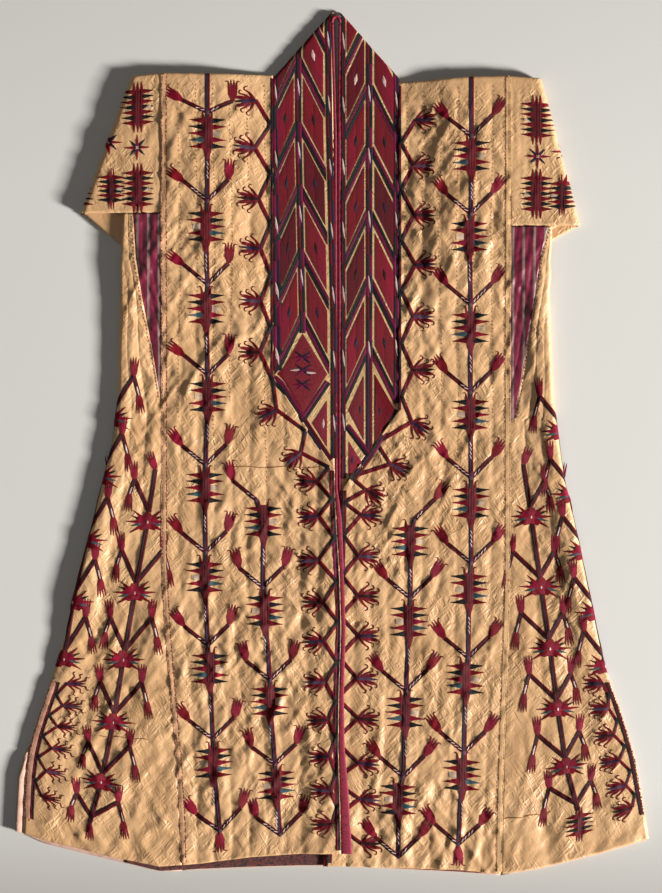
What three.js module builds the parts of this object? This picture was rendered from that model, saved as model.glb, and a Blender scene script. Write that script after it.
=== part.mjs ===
// A chyrpy: a Turkmen woman's cloak of quilted yellow silk, laid face up and flat, its short false
// sleeves turned back behind the shoulders. Millimetres: x across the garment, y up it, z up from
// the floor.
import * as THREE from "three";

const { lerp, smoothstep } = THREE.MathUtils;

// ---- Driving dimensions -------------------------------------------------------------------------

const CLOTH = 2.0; // silk, wadding and lining together, at a quilting line
const SLEEVE_CLOTH = 1.8;
const COLLAR_CLOTH = 2.4; // stiff with embroidery
const FACING_CLOTH = 1.0;
const BRAID = 3.2; // height of the crimson edging
const PUFF = 1.0; // how far the silk stands up between two quilting lines
const SEAM_GAP = 0.3; // clearance left at each seam
const LAYER_GAP = 2.4; // air between the back and the front, which lie on each other
const CHANNEL = 24; // quilting lines are this far apart

const BODY_HALF = 242; // half the loom width of the body cloth
const COLLAR_WIDTH = 88;
const SHOULDER = 512; // height of the shoulder fold
const HEM = -589; // height of the hem at the body seams
const VENT_TOP = -328; // the side vents are open below this
const SLEEVE_RISE = 8; // the body lies this high over the turned-back sleeves
const SIDE_RISE = 5; // the wadding holds the side folds open by this much
const LAP_RISE = CLOTH + PUFF + 0.5; // the left front lies over the right one
const LAP_TOP = -60; // the fronts overlap below this
const LAP_EASE = { above: 60, beside: 43, gap: 3 }; // the left front rises to the lap over this much cloth
const SHOULDER_EASE = { from: 60, to: 10 }; // creases and side folds die out this far below the shoulder
const SLEEVE_EDGE = { from: 250, to: 170 }; // the turned-back sleeves lift the body above these heights
const PEAK = { x: 10, y: 600 }; // end of the collar's slanting fold, at the top
const SLEEVE_LENGTH = 192; // from the armhole to the cuff
const SLEEVE_TURN = 8; // length of sleeve taken up by its slanting fold
const FACING = { left: -296, right: 204, width: 42, inset: 1 };

// Heights at which every piece of one half has a row of points, so that seams match.
const STATIONS = [
  SHOULDER, 474, 430, 380, "underarm", 270, 215, 160, 110, "wedge tip", 10, -40, -85, -130,
  -180, -230, -280, VENT_TOP, -372, -416, -460, -504, -548, HEM,
];

// Each half has a table of heights: half widths from the centre line to the outer edge of the striped
// wedge and to the side fold, or below VENT_TOP to the vent's edge on the front and on the back. Its
// hem table says how far the hem is above (+) or below (-) HEM, on the front and on the back.
const LEFT = {
  name: "left",
  sign: -1,
  underarm: 323,
  wedgeTip: 64,
  hemSeam: 215,
  collarTips: { sewn: 95, free: -34 },
  sleeve: { shoulder: 279, elbow: 347, elbowY: 328, backShorter: 0 },
  outline: [
    { y: 323, wedge: 283, fold: 297 },
    { y: 260, wedge: 279, fold: 300 },
    { y: 204, wedge: 270, fold: 302 },
    { y: 141, wedge: 258, fold: 304 },
    { y: 64, wedge: 245, fold: 305 },
    { y: 8, fold: 311 },
    { y: -48, fold: 325 },
    { y: -104, fold: 339 },
    { y: -160, fold: 354 },
    { y: -216, fold: 368 },
    { y: -272, fold: 380 },
    { y: -328, fold: 397 },
    { y: -372, fold: 410, back: 408 },
    { y: -416, fold: 422, back: 420 },
    { y: -460, fold: 430, back: 434 },
    { y: -504, fold: 434, back: 444 },
    { y: -589, fold: 437, back: 448 },
  ],
  hem: [
    { x: -445, front: 49, back: 49 },
    { x: -407, front: 37, back: 31 },
    { x: -316, front: 14, back: 9 },
    { x: -246, front: 0, back: -8 },
    { x: -190, front: 4, back: -5 },
    { x: -120, front: 13, back: -2 },
    { x: -50, front: 18, back: 0 },
  ],
};
const RIGHT = {
  name: "right",
  sign: 1,
  underarm: 305,
  wedgeTip: 38,
  hemSeam: 230,
  collarTips: { sewn: 49, free: -62 },
  sleeve: { shoulder: 279, elbow: 332, elbowY: 312, backShorter: 14 },
  outline: [
    { y: 305, wedge: 296, fold: 302 },
    { y: 260, wedge: 285, fold: 299 },
    { y: 204, wedge: 277, fold: 298 },
    { y: 141, wedge: 267, fold: 301 },
    { y: 64, wedge: 254, fold: 304 },
    { y: 38, wedge: 250, fold: 307 },
    { y: -48, fold: 319 },
    { y: -104, fold: 332 },
    { y: -160, fold: 344 },
    { y: -216, fold: 356 },
    { y: -272, fold: 367 },
    { y: -328, fold: 381 },
    { y: -372, fold: 396, back: 394 },
    { y: -416, fold: 408, back: 406 },
    { y: -460, fold: 418, back: 416 },
    { y: -589, fold: 437, back: 434 },
  ],
  hem: [
    { x: 0, front: 0, back: 0 },
    { x: 83, front: -2, back: -4 },
    { x: 174, front: -5, back: -9 },
    { x: 230, front: -11, back: -13 },
    { x: 286, front: -2, back: -4 },
    { x: 370, front: 19, back: 17 },
    { x: 437, front: 39, back: 37 },
  ],
};

// How far the shoulder fold lies above (+) or below (-) SHOULDER.
const SHOULDER_LINE = [
  { x: -290, rise: -1 },
  { x: -242, rise: 4 },
  { x: -88, rise: 2 },
  { x: 0, rise: -3.5 },
  { x: 88, rise: -9 },
  { x: 190, rise: -1 },
  { x: 242, rise: 0 },
  { x: 290, rise: -4 },
];

// Where the cloth of each front or collar side stops along the opening, and where its braid stops. Below
// LAP_TOP the left front lies over the right one.
const OPENING = [
  { y: 600, left: -7.5, leftBraid: -3.5, rightBraid: 3.5, right: 7.5 },
  { y: 470, left: -4, leftBraid: 0, rightBraid: 2.6, right: 7.5 },
  { y: 430, left: -3.5, leftBraid: 1.4, rightBraid: 2.2, right: 7.5 },
  { y: LAP_TOP, left: -2, leftBraid: 2, rightBraid: 2.8, right: 8 },
  { y: -104, left: 0, leftBraid: 8, rightBraid: 2.5, right: 7.5 },
  { y: -188, left: 5, leftBraid: 11.5, rightBraid: 0, right: 5 },
  { y: -260, left: 7, leftBraid: 13.5, rightBraid: -3, right: 2 },
  { y: -350, left: 4, leftBraid: 11, rightBraid: -7, right: -2 },
  { y: -430, left: 3, leftBraid: 12, rightBraid: -11, right: -6 },
  { y: -500, left: 5, leftBraid: 17.5, rightBraid: -14, right: -9 },
  { y: -589, left: 7, leftBraid: 22.5, rightBraid: -18, right: -13 },
];

// The main folds of the front, each a soft ridge (+) or trough (-): its middle, run, turn from upright.
const FOLDS = [
  { x: -134, y: 46, long: 190, wide: 26, tilt: 4, height: -1.5 },
  { x: -168, y: 60, long: 210, wide: 24, tilt: 2, height: 1.2 },
  { x: -118, y: 270, long: 240, wide: 18, tilt: 0, height: -1.2 },
  { x: 122, y: 250, long: 260, wide: 18, tilt: 0, height: -1.3 },
  { x: 226, y: 262, long: 230, wide: 22, tilt: -5, height: -1.6 },
  { x: 204, y: 290, long: 220, wide: 24, tilt: -4, height: 1.3 },
  { x: 160, y: 330, long: 160, wide: 26, tilt: 24, height: 1.1 },
  { x: -262, y: -10, long: 170, wide: 22, tilt: 16, height: 1.2 },
  { x: -284, y: -90, long: 260, wide: 26, tilt: -12, height: 1.3 },
  { x: 272, y: -60, long: 200, wide: 24, tilt: -22, height: 1.2 },
  { x: 300, y: -180, long: 220, wide: 26, tilt: 14, height: -1.3 },
  { x: 292, y: -540, long: 130, wide: 22, tilt: 4, height: -1.6 },
  { x: 330, y: -520, long: 120, wide: 24, tilt: 8, height: 1.3 },
  { x: -300, y: -480, long: 180, wide: 26, tilt: -10, height: 1.1 },
];

const UNDERARM_ROW = STATIONS.indexOf("underarm");
const TIP_ROW = STATIONS.indexOf("wedge tip");
const FOLD_STEPS = 5; // steps round each folded edge
const PER_CHANNEL = 3; // columns of points for each quilted channel
const COLLAR_ROWS = 14; // rows of points down each side of the collar

// ---- Materials ----------------------------------------------------------------------------------

const cloth = (color, roughness) => new THREE.MeshStandardMaterial({ color, roughness, metalness: 0 });
const yellowSilk = cloth(0xd0a266, 0.5);
const stripedSilk = cloth(0x7c2440, 0.5);
const embroideredSilk = cloth(0x6f1a26, 0.7);
const crimsonBraid = cloth(0x8e1b38, 0.6);
const printedCotton = cloth(0x5e2c2a, 0.85);

// ---- Small tools --------------------------------------------------------------------------------

// A table's column at a place, straight between its rows.
function read(table, key, place, column) {
  const rows = table.filter((row) => column in row);
  const rising = rows[rows.length - 1][key] > rows[0][key];
  const past = rows.findIndex((row) => (rising ? row[key] >= place : row[key] <= place));
  if (past === 0) return rows[0][column];
  if (past < 0) return rows[rows.length - 1][column];
  const [a, b] = [rows[past - 1], rows[past]];
  return lerp(a[column], b[column], (place - a[key]) / (b[key] - a[key]));
}

// The steps of a run from a to b, both ends included.
const run = (a, b, steps) => Array.from({ length: steps + 1 }, (_, i) => lerp(a, b, i / steps));

// ---- The laid garment ---------------------------------------------------------------------------

const half = (x) => (x < 0 ? LEFT : RIGHT);
const stationsOf = (side) =>
  STATIONS.map((y) => (y === "underarm" ? side.underarm : y === "wedge tip" ? side.wedgeTip : y));
const openingAt = (side, y) => read(OPENING, "y", y, side.name);
const braidAt = (side, y) => read(OPENING, "y", y, `${side.name}Braid`);
const foldAt = (side, y) => read(side.outline, "y", y, "fold");
const backEdgeAt = (side, y) => (y < VENT_TOP ? read(side.outline, "y", y, "back") : foldAt(side, y));
const seamAt = (side, y) => lerp(BODY_HALF, side.hemSeam, smoothstep(-y, 130, -HEM));
const wedgeAt = (side, y) => (y < side.wedgeTip ? seamAt(side, y) : read(side.outline, "y", y, "wedge"));

// Heights along the opening: the collar's rows above its tip, then the front's rows below it.
function openingRows(side) {
  const below = stationsOf(side).filter((y) => y < side.collarTips.sewn);
  const first = side.collarTips.sewn;
  const down = [first, ...below].map((y) => (first - y) / (first - HEM));
  return {
    collar: run(side.collarTips.free + SEAM_GAP, PEAK.y, COLLAR_ROWS),
    front: down.map((part) => lerp(side.collarTips.free - SEAM_GAP, HEM, part)),
    down,
  };
}

// A pattern point's height up the garment once the shoulder slope and the hem's curve are in it.
function settle(side, x, y, layer) {
  const hem = read(side.hem, "x", x, layer) * smoothstep(-y, 280, -HEM);
  const shoulder = read(SHOULDER_LINE, "x", x, "rise") * smoothstep(y, 330, SHOULDER);
  return y + hem + shoulder;
}

// The back's outer face: on the floor, and over the turned-back sleeves.
const overSleeves = (y) => smoothstep(y, SLEEVE_EDGE.to, SLEEVE_EDGE.from);
const backUnder = (x, y) => SLEEVE_RISE * smoothstep(Math.abs(x), 90, 170) * overSleeves(y);

// The front's inner face, higher at the side folds and where the left front laps over the right one.
function frontUnder(side, x, y) {
  const toFold = Math.abs(x) / foldAt(side, y);
  const atSide = smoothstep(toFold, 0.85, 0.97) * smoothstep(y, VENT_TOP, VENT_TOP + 120);
  const atShoulder = smoothstep(y, SHOULDER - SHOULDER_EASE.from, SHOULDER - SHOULDER_EASE.to);
  const creases = folds(x, y) * (1 - smoothstep(toFold, 0.86, 0.98)) * (1 - atShoulder);
  const sides = SIDE_RISE * atSide * (1 - overSleeves(y));
  return backUnder(x, y) + CLOTH + LAYER_GAP + creases + sides + lap(side, x, y);
}

function lap(side, x, y) {
  if (side === RIGHT) return 0;
  const full = braidAt(RIGHT, y) - LAP_EASE.gap;
  const across = smoothstep(x, full - LAP_EASE.beside, full);
  return LAP_RISE * across * smoothstep(-y, -LAP_TOP - LAP_EASE.above, -LAP_TOP);
}

// The main folds: each is a bell across its width and fades out towards its ends.
function folds(x, y) {
  return FOLDS.reduce((sum, fold) => {
    const turn = THREE.MathUtils.degToRad(fold.tilt);
    const [dx, dy] = [x - fold.x, y - fold.y];
    const along = (dy * Math.cos(turn) + dx * Math.sin(turn)) / (fold.long / 2);
    const across = (dx * Math.cos(turn) - dy * Math.sin(turn)) / (fold.wide / 2);
    return sum + fold.height * Math.exp(-across * across) * Math.max(0, 1 - along * along);
  }, 0);
}

// The quilted face: the silk stands up in a round channel between each pair of lines.
const quilt = (phase) => PUFF * Math.sin(Math.PI * (phase - Math.floor(phase))) ** 2;

// ---- A wall of cloth ----------------------------------------------------------------------------

// A closed wall between an outer and an inner sheet of points on one grid, with a rim round every free
// edge. present(i, j) says which cells hold cloth. The inner sheet has a column for each `step` outer ones.
function wall({ name, material, cols, rows, outer, inner, present = () => true, step = 1 }) {
  const points = [];
  const faces = [];
  const numbers = new Map();
  const there = (i, j) => i >= 0 && j >= 0 && i < cols && j < rows && present(i, j);
  const point = (face, i, j) => {
    const key = `${face} ${i} ${j}`;
    if (!numbers.has(key)) {
      numbers.set(key, points.length / 3);
      points.push(...(face === "out" ? outer(i, j) : inner(i, j)));
    }
    return numbers.get(key);
  };
  const quad = (a, b, c, d) => faces.push(a, b, c, a, c, d);
  // The rim of one cell along column line i, from row j to row k.
  const edge = (i, j, k) =>
    quad(point("out", i, j), point("out", i, k), point("in", i, k), point("in", i, j));
  // Joins outer points o[0..n], in order, to the inner points a (by o[0]) and b (by o[n]).
  const rim = (o, a, b) => {
    const middle = Math.floor((o.length - 1) / 2);
    o.slice(1).forEach((next, m) => faces.push(o[m], next, m < middle ? a : b));
    faces.push(o[middle], b, a);
  };
  for (let j = 0; j < rows; j++) {
    for (let i = 0; i < cols; i++) {
      if (!there(i, j)) continue;
      quad(point("out", i, j), point("out", i + 1, j), point("out", i + 1, j + 1), point("out", i, j + 1));
      if (!there(i - 1, j)) edge(i, j, j + 1);
      if (!there(i + 1, j)) edge(i + 1, j + 1, j);
      if (i % step) continue;
      const end = i + step;
      const span = run(i, end, step);
      quad(point("in", i, j), point("in", i, j + 1), point("in", end, j + 1), point("in", end, j));
      if (!there(i, j - 1))
        rim(span.map((k) => point("out", k, j)).reverse(), point("in", end, j), point("in", i, j));
      if (!there(i, j + 1))
        rim(span.map((k) => point("out", k, j + 1)), point("in", i, j + 1), point("in", end, j + 1));
    }
  }
  return closed(name, material, points, faces);
}

// The mesh of a closed surface, its faces turned to point outwards.
function closed(name, material, points, faces) {
  const corner = (n) => new THREE.Vector3().fromArray(points, 3 * n);
  let volume = 0;
  for (let f = 0; f < faces.length; f += 3) {
    const [a, b, c] = faces.slice(f, f + 3).map(corner);
    volume += a.dot(b.cross(c)) / 6;
  }
  if (volume < 0) {
    for (let f = 0; f < faces.length; f += 3) [faces[f + 1], faces[f + 2]] = [faces[f + 2], faces[f + 1]];
  }
  const geometry = new THREE.BufferGeometry();
  geometry.setAttribute("position", new THREE.Float32BufferAttribute(points, 3));
  geometry.setIndex(faces);
  geometry.computeVertexNormals();
  const mesh = new THREE.Mesh(geometry, material);
  mesh.name = name;
  return mesh;
}

// ---- The pieces ---------------------------------------------------------------------------------

// A front: the body cloth from its side seam to the opening, cut away under the collar, and wrapped
// over the shoulder to a seam just behind the fold.
function front(side) {
  const stations = stationsOf(side);
  const opening = openingRows(side);
  const cutRow = stations.findIndex((y) => y < side.collarTips.sewn) - 1;
  const collarSeam = COLLAR_WIDTH + SEAM_GAP / 2;
  const sideCols = Math.round((BODY_HALF - COLLAR_WIDTH) / CHANNEL) * PER_CHANNEL;
  const cols = sideCols + Math.round(COLLAR_WIDTH / CHANNEL) * PER_CHANNEL;
  stations[cutRow] = side.collarTips.sewn;

  // A grid point's place on the flat pattern, from the side seam (i = 0) to the opening.
  const pattern = (i, j) => {
    const row = Math.max(0, j - FOLD_STEPS);
    const y = stations[row];
    const seam = seamAt(side, y) - SEAM_GAP / 2;
    if (i <= sideCols) return [side.sign * lerp(seam, collarSeam, i / sideCols), y];
    const toOpening = (i - sideCols) / (cols - sideCols);
    const free = opening.front[row - cutRow];
    return [lerp(side.sign * collarSeam, openingAt(side, free), toOpening), lerp(y, free, toOpening)];
  };
  const place = (i, j, rise) => {
    const [x, y] = pattern(i, j);
    const low = backUnder(x, y);
    const high = frontUnder(side, x, y) + CLOTH;
    const up = settle(side, x, y, "front");
    if (j >= FOLD_STEPS) return [x, up, high - CLOTH + rise];
    const turn = Math.PI * (1 - j / FOLD_STEPS);
    const reach = (high - low) / 2 - CLOTH + rise;
    return [x, up + reach * Math.sin(turn), (low + high) / 2 + reach * Math.cos(turn)];
  };
  const puff = (i, j) => (j <= FOLD_STEPS ? 0 : quilt(i / PER_CHANNEL));
  return wall({
    name: `front_${side.name}`,
    material: yellowSilk,
    cols,
    rows: FOLD_STEPS + stations.length - 1,
    outer: (i, j) => place(i, j, CLOTH + puff(i, j)),
    inner: (i, j) => place(i, j, 0),
    present: (i, j) => i < sideCols || j >= FOLD_STEPS + cutRow,
    step: PER_CHANNEL,
  });
}

// The back: one loom width, flat on the floor, between the two side seams.
function back() {
  const across = run(-1, 1, 16);
  const rows = STATIONS.filter((y) => typeof y === "number");
  const place = (i, j, rise) => {
    const y = rows[j] - (j === 0 ? 2 * SEAM_GAP : 0);
    const side = half(across[i]);
    const x = across[i] * (seamAt(side, y) - SEAM_GAP / 2);
    return [x, settle(side, x, y, "back"), backUnder(x, y) + rise];
  };
  return wall({
    name: "back",
    material: yellowSilk,
    cols: across.length - 1,
    rows: rows.length - 1,
    outer: (i, j) => place(i, j, 0),
    inner: (i, j) => place(i, j, CLOTH),
  });
}

// A side panel: one gore that runs from the front seam round the side fold to the back seam, and parts
// into a front and a back flap below VENT_TOP.
function gore(side) {
  const stations = stationsOf(side).slice(UNDERARM_ROW);
  const frontCols = 3 * PER_CHANNEL;
  const backCols = 4;
  const foldEnd = frontCols + FOLD_STEPS;
  const place = (i, j, rise) => {
    const y = stations[j];
    const open = y < VENT_TOP;
    const seam = wedgeAt(side, y) + SEAM_GAP / 2;
    const outermost = side.sign * foldAt(side, y);
    const radius = (frontUnder(side, outermost, y) + CLOTH - backUnder(outermost, y)) / 2;
    const foot = foldAt(side, y) - (open ? 0 : radius);
    if (i <= frontCols) {
      const x = side.sign * lerp(seam, foot, i / frontCols);
      return [x, settle(side, x, y, "front"), frontUnder(side, x, y) + rise];
    }
    const inTurn = radius - CLOTH + Math.min(rise, CLOTH);
    if (i >= foldEnd) {
      const backEdge = open ? backEdgeAt(side, y) : foot;
      const x = side.sign * lerp(backEdge, seam, (i - foldEnd) / backCols);
      return [x, settle(side, x, y, "back"), backUnder(x, y) + CLOTH - Math.min(rise, CLOTH)];
    }
    const x = side.sign * foot;
    const turn = (Math.PI * (i - frontCols)) / FOLD_STEPS;
    const z = backUnder(x, y) + radius + inTurn * Math.cos(turn);
    return [x + side.sign * inTurn * Math.sin(turn), settle(side, x, y, "front"), z];
  };
  const puff = (i) => (i < frontCols ? quilt(i / PER_CHANNEL) : 0);
  return wall({
    name: `side_gore_${side.name}`,
    material: yellowSilk,
    cols: foldEnd + backCols,
    rows: stations.length - 1,
    outer: (i, j) => place(i, j, CLOTH + puff(i)),
    inner: (i, j) => place(i, j, 0),
    present: (i, j) => stations[j] > VENT_TOP || i < frontCols || i >= foldEnd,
  });
}

// A long striped wedge between the body cloth and the side panel, from the underarm to its tip.
function wedge(side, layer) {
  const stations = stationsOf(side).slice(UNDERARM_ROW, TIP_ROW + 1);
  const cols = 3;
  const under = (x, y) => (layer === "front" ? frontUnder(side, x, y) : backUnder(x, y));
  const place = (i, j, rise) => {
    const y = stations[j] + (j === stations.length - 1 ? 8 : 0);
    const inner = seamAt(side, y) + SEAM_GAP / 2;
    const x = side.sign * lerp(inner, wedgeAt(side, y) - SEAM_GAP / 2, i / cols);
    return [x, settle(side, x, y, layer), under(x, y) + rise];
  };
  return wall({
    name: `wedge_${layer}_${side.name}`,
    material: stripedSilk,
    cols,
    rows: stations.length - 1,
    outer: (i, j) => place(i, j, CLOTH),
    inner: (i, j) => place(i, j, 0),
  });
}

// A sleeve: a straight tube, open along the underarm, pressed flat with its fold on the shoulder line
// and then turned behind along a slanting fold from the shoulder to the elbow corner.
function sleeve(side) {
  const { shoulder, elbow, elbowY, backShorter } = side.sleeve;
  const slant = Math.atan2(elbow - shoulder, SHOULDER - elbowY);
  const outwards = new THREE.Vector2(Math.cos(slant), Math.sin(slant));
  const armhole = BODY_HALF + SEAM_GAP / 2;
  const cuff = armhole + SLEEVE_LENGTH;
  const [flatCols, behindCols, layerRows] = [4, 4, 5];
  const low = SLEEVE_RISE;
  const high = low + CLOTH + LAYER_GAP + SLEEVE_CLOTH;
  const axis = high / 2; // turned about this height, the front's outer face comes down to the floor

  // Columns run outwards: to the slanting fold, round it and on to the cuff.
  const across = (i, y) => {
    const fold = shoulder + (SHOULDER - y) * Math.tan(slant);
    const turned = fold + SLEEVE_TURN / Math.cos(slant);
    if (i <= flatCols) return lerp(armhole, fold, i / flatCols);
    if (i <= flatCols + FOLD_STEPS) return lerp(fold, turned, (i - flatCols) / FOLD_STEPS);
    return lerp(turned, cuff, (i - flatCols - FOLD_STEPS) / behindCols);
  };
  // Rows run up the front layer, round the shoulder fold and down the back layer.
  const flat = (i, j, rise) => {
    const bottom = side.underarm + 2 * SEAM_GAP;
    const backRow = j - layerRows - FOLD_STEPS;
    const y = j <= layerRows ? lerp(bottom, SHOULDER, j / layerRows)
      : lerp(SHOULDER, bottom + backShorter, Math.max(0, backRow) / layerRows);
    const turn = (Math.PI * THREE.MathUtils.clamp(j - layerRows, 0, FOLD_STEPS)) / FOLD_STEPS;
    const reach = (high - low) / 2 - SLEEVE_CLOTH + rise;
    const x = across(i, y);
    const up = settle(side, side.sign * Math.min(x, elbow), y, "front");
    return [x, up + reach * Math.sin(turn), (high + low) / 2 + reach * Math.cos(turn)];
  };
  const place = (i, j, rise) => {
    const [x, y, z] = flat(i, j, rise);
    const beyond = (x - shoulder) * outwards.x + (y - SHOULDER) * outwards.y;
    if (beyond <= 0) return [side.sign * x, y, z];
    const turn = Math.PI * Math.min(1, beyond / SLEEVE_TURN);
    const move = (z - axis) * Math.sin(turn) - beyond - Math.max(0, beyond - SLEEVE_TURN);
    return [side.sign * (x + move * outwards.x), y + move * outwards.y, axis + (z - axis) * Math.cos(turn)];
  };
  return wall({
    name: `sleeve_${side.name}`,
    material: yellowSilk,
    cols: flatCols + FOLD_STEPS + behindCols,
    rows: layerRows + FOLD_STEPS + layerRows,
    outer: (i, j) => place(i, j, SLEEVE_CLOTH),
    inner: (i, j) => place(i, j, 0),
  });
}

// The collar: one straight band. It runs up beside the opening, is folded over at the slanting edge to
// run behind the neck, and comes back down the other side the same way.
function collar() {
  const cols = 4;
  const sewn = COLLAR_WIDTH - SEAM_GAP / 2;
  // Each row of the band: its two ends, how far round the slanting fold it is, and which half it is in.
  const halfRows = (side) => {
    const radius = (CLOTH + LAYER_GAP + COLLAR_CLOTH) / 2;
    const fold = new THREE.Vector2(PEAK.x - COLLAR_WIDTH, PEAK.y - SHOULDER).normalize();
    const tuck = [fold.y * radius, -fold.x * radius]; // the round of the fold stays inside its line
    const free = openingRows(side).collar;
    const top = { sewn: [sewn - tuck[0], SHOULDER], free: PEAK.y - tuck[1] };
    const panel = free.map((y, k) => {
      const part = k / COLLAR_ROWS;
      const last = k === COLLAR_ROWS;
      const freeY = last ? top.free : y;
      const sewnY = lerp(side.collarTips.sewn + 2 * SEAM_GAP, top.sewn[1], part);
      const sewnX = last ? top.sewn[0] : sewn;
      return { side, turn: 0, sewn: [side.sign * sewnX, sewnY], free: [openingAt(side, freeY), freeY] };
    });
    const turned = run(0, Math.PI, FOLD_STEPS).slice(1).map((turn) => ({ ...panel[COLLAR_ROWS], turn }));
    return [...panel, ...turned];
  };
  const rows = [...halfRows(LEFT), ...halfRows(RIGHT).reverse()];
  const place = (i, j, rise) => {
    const { side, turn, sewn: a, free: b } = rows[j];
    const [x, y] = [lerp(a[0], b[0], i / cols), lerp(a[1], b[1], i / cols)];
    const under = frontUnder(side, x, y);
    const radius = (under + COLLAR_CLOTH - backUnder(x, y)) / 2;
    const reach = (radius - COLLAR_CLOTH + rise) * Math.sin(turn);
    const z = backUnder(x, y) + radius + (radius - COLLAR_CLOTH + rise) * Math.cos(turn);
    const along = new THREE.Vector2(b[0] - a[0], b[1] - a[1]).normalize();
    const up = settle(side, x, y, "front") + Math.abs(along.x) * reach;
    return [x + side.sign * Math.abs(along.y) * reach, up, z];
  };
  return wall({
    name: "collar",
    material: embroideredSilk,
    cols,
    rows: rows.length - 1,
    outer: (i, j) => place(i, j, COLLAR_CLOTH),
    inner: (i, j) => place(i, j, 0),
  });
}

// The crimson braid round one free edge, from the top of the collar to the hem.
function edging(side) {
  const { collar: above, front: below } = openingRows(side);
  const rows = [PEAK.y - 8, ...above.slice(0, -1).reverse(), ...below.slice(1)];
  const cols = 4;
  const place = (i, j, rise) => {
    const y = rows[j];
    const x = lerp(openingAt(side, y) - side.sign * SEAM_GAP, braidAt(side, y), i / cols);
    return [x, settle(side, x, y, "front"), frontUnder(side, x, y) + rise];
  };
  return wall({
    name: `edging_${side.name}`,
    material: crimsonBraid,
    cols,
    rows: rows.length - 1,
    outer: (i, j) => place(i, j, BRAID * lerp(0.5, 1, Math.sin((Math.PI * i) / cols))),
    inner: (i, j) => place(i, j, 0),
  });
}

// The printed strip that faces the inside of the back hem.
function hemFacing() {
  const across = run(FACING.left, FACING.right, 20);
  const place = (i, j, rise) => {
    const x = across[i];
    const y = settle(half(x), x, HEM, "back") + lerp(FACING.inset, FACING.width, j);
    return [x, y, backUnder(x, y) + CLOTH + SEAM_GAP + rise];
  };
  return wall({
    name: "hem_facing",
    material: printedCotton,
    cols: across.length - 1,
    rows: 1,
    outer: (i, j) => place(i, j, FACING_CLOTH),
    inner: (i, j) => place(i, j, 0),
  });
}

// ---- Assembly -----------------------------------------------------------------------------------

const cloak = new THREE.Group();
cloak.name = "chyrpy";
cloak.add(back(), collar(), hemFacing());
for (const side of [LEFT, RIGHT]) {
  cloak.add(front(side), edging(side), gore(side), sleeve(side));
  cloak.add(wedge(side, "front"), wedge(side, "back"));
}
export default cloak;
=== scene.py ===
# %% [markdown]
# # A Turkmen chyrpy, laid flat
#
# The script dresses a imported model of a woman's cloak: quilted yellow silk, dense silk embroidery,
# a striped wedge under each arm and short false sleeves turned back behind the shoulders.
#
# Everything is worked out in millimetres in the garment's own frame (x across, y up the garment, z
# up from the floor) and turned into metres when a mesh is made.

import bpy
import numpy as np
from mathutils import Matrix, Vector


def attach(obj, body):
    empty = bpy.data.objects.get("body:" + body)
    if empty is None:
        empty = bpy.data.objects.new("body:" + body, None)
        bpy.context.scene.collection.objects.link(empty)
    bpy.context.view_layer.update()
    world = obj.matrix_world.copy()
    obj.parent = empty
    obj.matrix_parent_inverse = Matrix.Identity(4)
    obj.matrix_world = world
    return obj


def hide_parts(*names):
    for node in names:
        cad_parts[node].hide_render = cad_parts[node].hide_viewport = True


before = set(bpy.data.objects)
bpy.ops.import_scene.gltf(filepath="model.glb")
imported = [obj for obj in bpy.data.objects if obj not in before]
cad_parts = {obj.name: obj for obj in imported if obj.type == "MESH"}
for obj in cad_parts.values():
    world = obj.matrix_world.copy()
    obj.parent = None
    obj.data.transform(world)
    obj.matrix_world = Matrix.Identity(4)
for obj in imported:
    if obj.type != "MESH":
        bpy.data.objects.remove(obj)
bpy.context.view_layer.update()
MM = 0.001

# %% [markdown]
# ## Camera and light
#
# The camera looks straight down on the floor. One large lamp stands low on the right and a little
# below the hem, so each pucker shows and the shadow falls to the upper left. A sun lamp could do
# this too, but a large area lamp far away gives the shadow its slightly soft edge. A weak fill
# keeps the hollows from going black.

# %% Camera
SHEET_HEIGHT = 1.2502  # metres of floor that the picture is high
CAMERA_HEIGHT = 3.2
CAMERA_CENTRE = (-0.007, -0.0023)

camera_data = bpy.data.cameras.new("camera")
camera_data.sensor_fit = "VERTICAL"
camera_data.sensor_height = 36
camera_data.lens = 36 * CAMERA_HEIGHT / SHEET_HEIGHT
camera = bpy.data.objects.new("camera", camera_data)
camera.location = (*CAMERA_CENTRE, CAMERA_HEIGHT)
bpy.context.scene.collection.objects.link(camera)
bpy.context.scene.camera = camera

# %% Lamps
def lamp(name, place, size, power, color):
    """A square area lamp at `place`, aimed at the middle of the garment."""
    data = bpy.data.lights.new(name, "AREA")
    data.size = size
    data.energy = power
    data.color = color
    item = bpy.data.objects.new(name, data)
    item.location = place
    item.rotation_euler = (-Vector(place)).to_track_quat("-Z", "Y").to_euler()
    bpy.context.scene.collection.objects.link(item)
    return item


lamp("key", (9.4, -3.5, 3.3), 1.6, 3450, (1.0, 0.985, 0.955))
lamp("fill", (-1.6, 0.6, 2.4), 2.2, 7, (1.0, 0.97, 0.93))

world = bpy.data.worlds.new("room")
world.use_nodes = True
world.node_tree.nodes["Background"].inputs["Color"].default_value = (1.0, 0.985, 0.96, 1)
world.node_tree.nodes["Background"].inputs["Strength"].default_value = 0.085
bpy.context.scene.world = world
bpy.context.scene.view_settings.view_transform = "Standard"
print("lens", round(camera_data.lens, 1), "mm")

# %% [markdown]
# ## The cut
#
# Such a cloak is cut from narrow loom widths: one for the back, half of one for each front, and a
# gore that widens each side. The sizes are the same as in the model. Each half of the garment has a
# table of heights `y` with half widths from the centre line: to the outer edge of the striped
# wedge, to the side fold, and below `VENT_TOP` to the edge of the back flap. Tables were chosen
# over smooth curves because hand sewing is not even, and the two sides differ.

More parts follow.
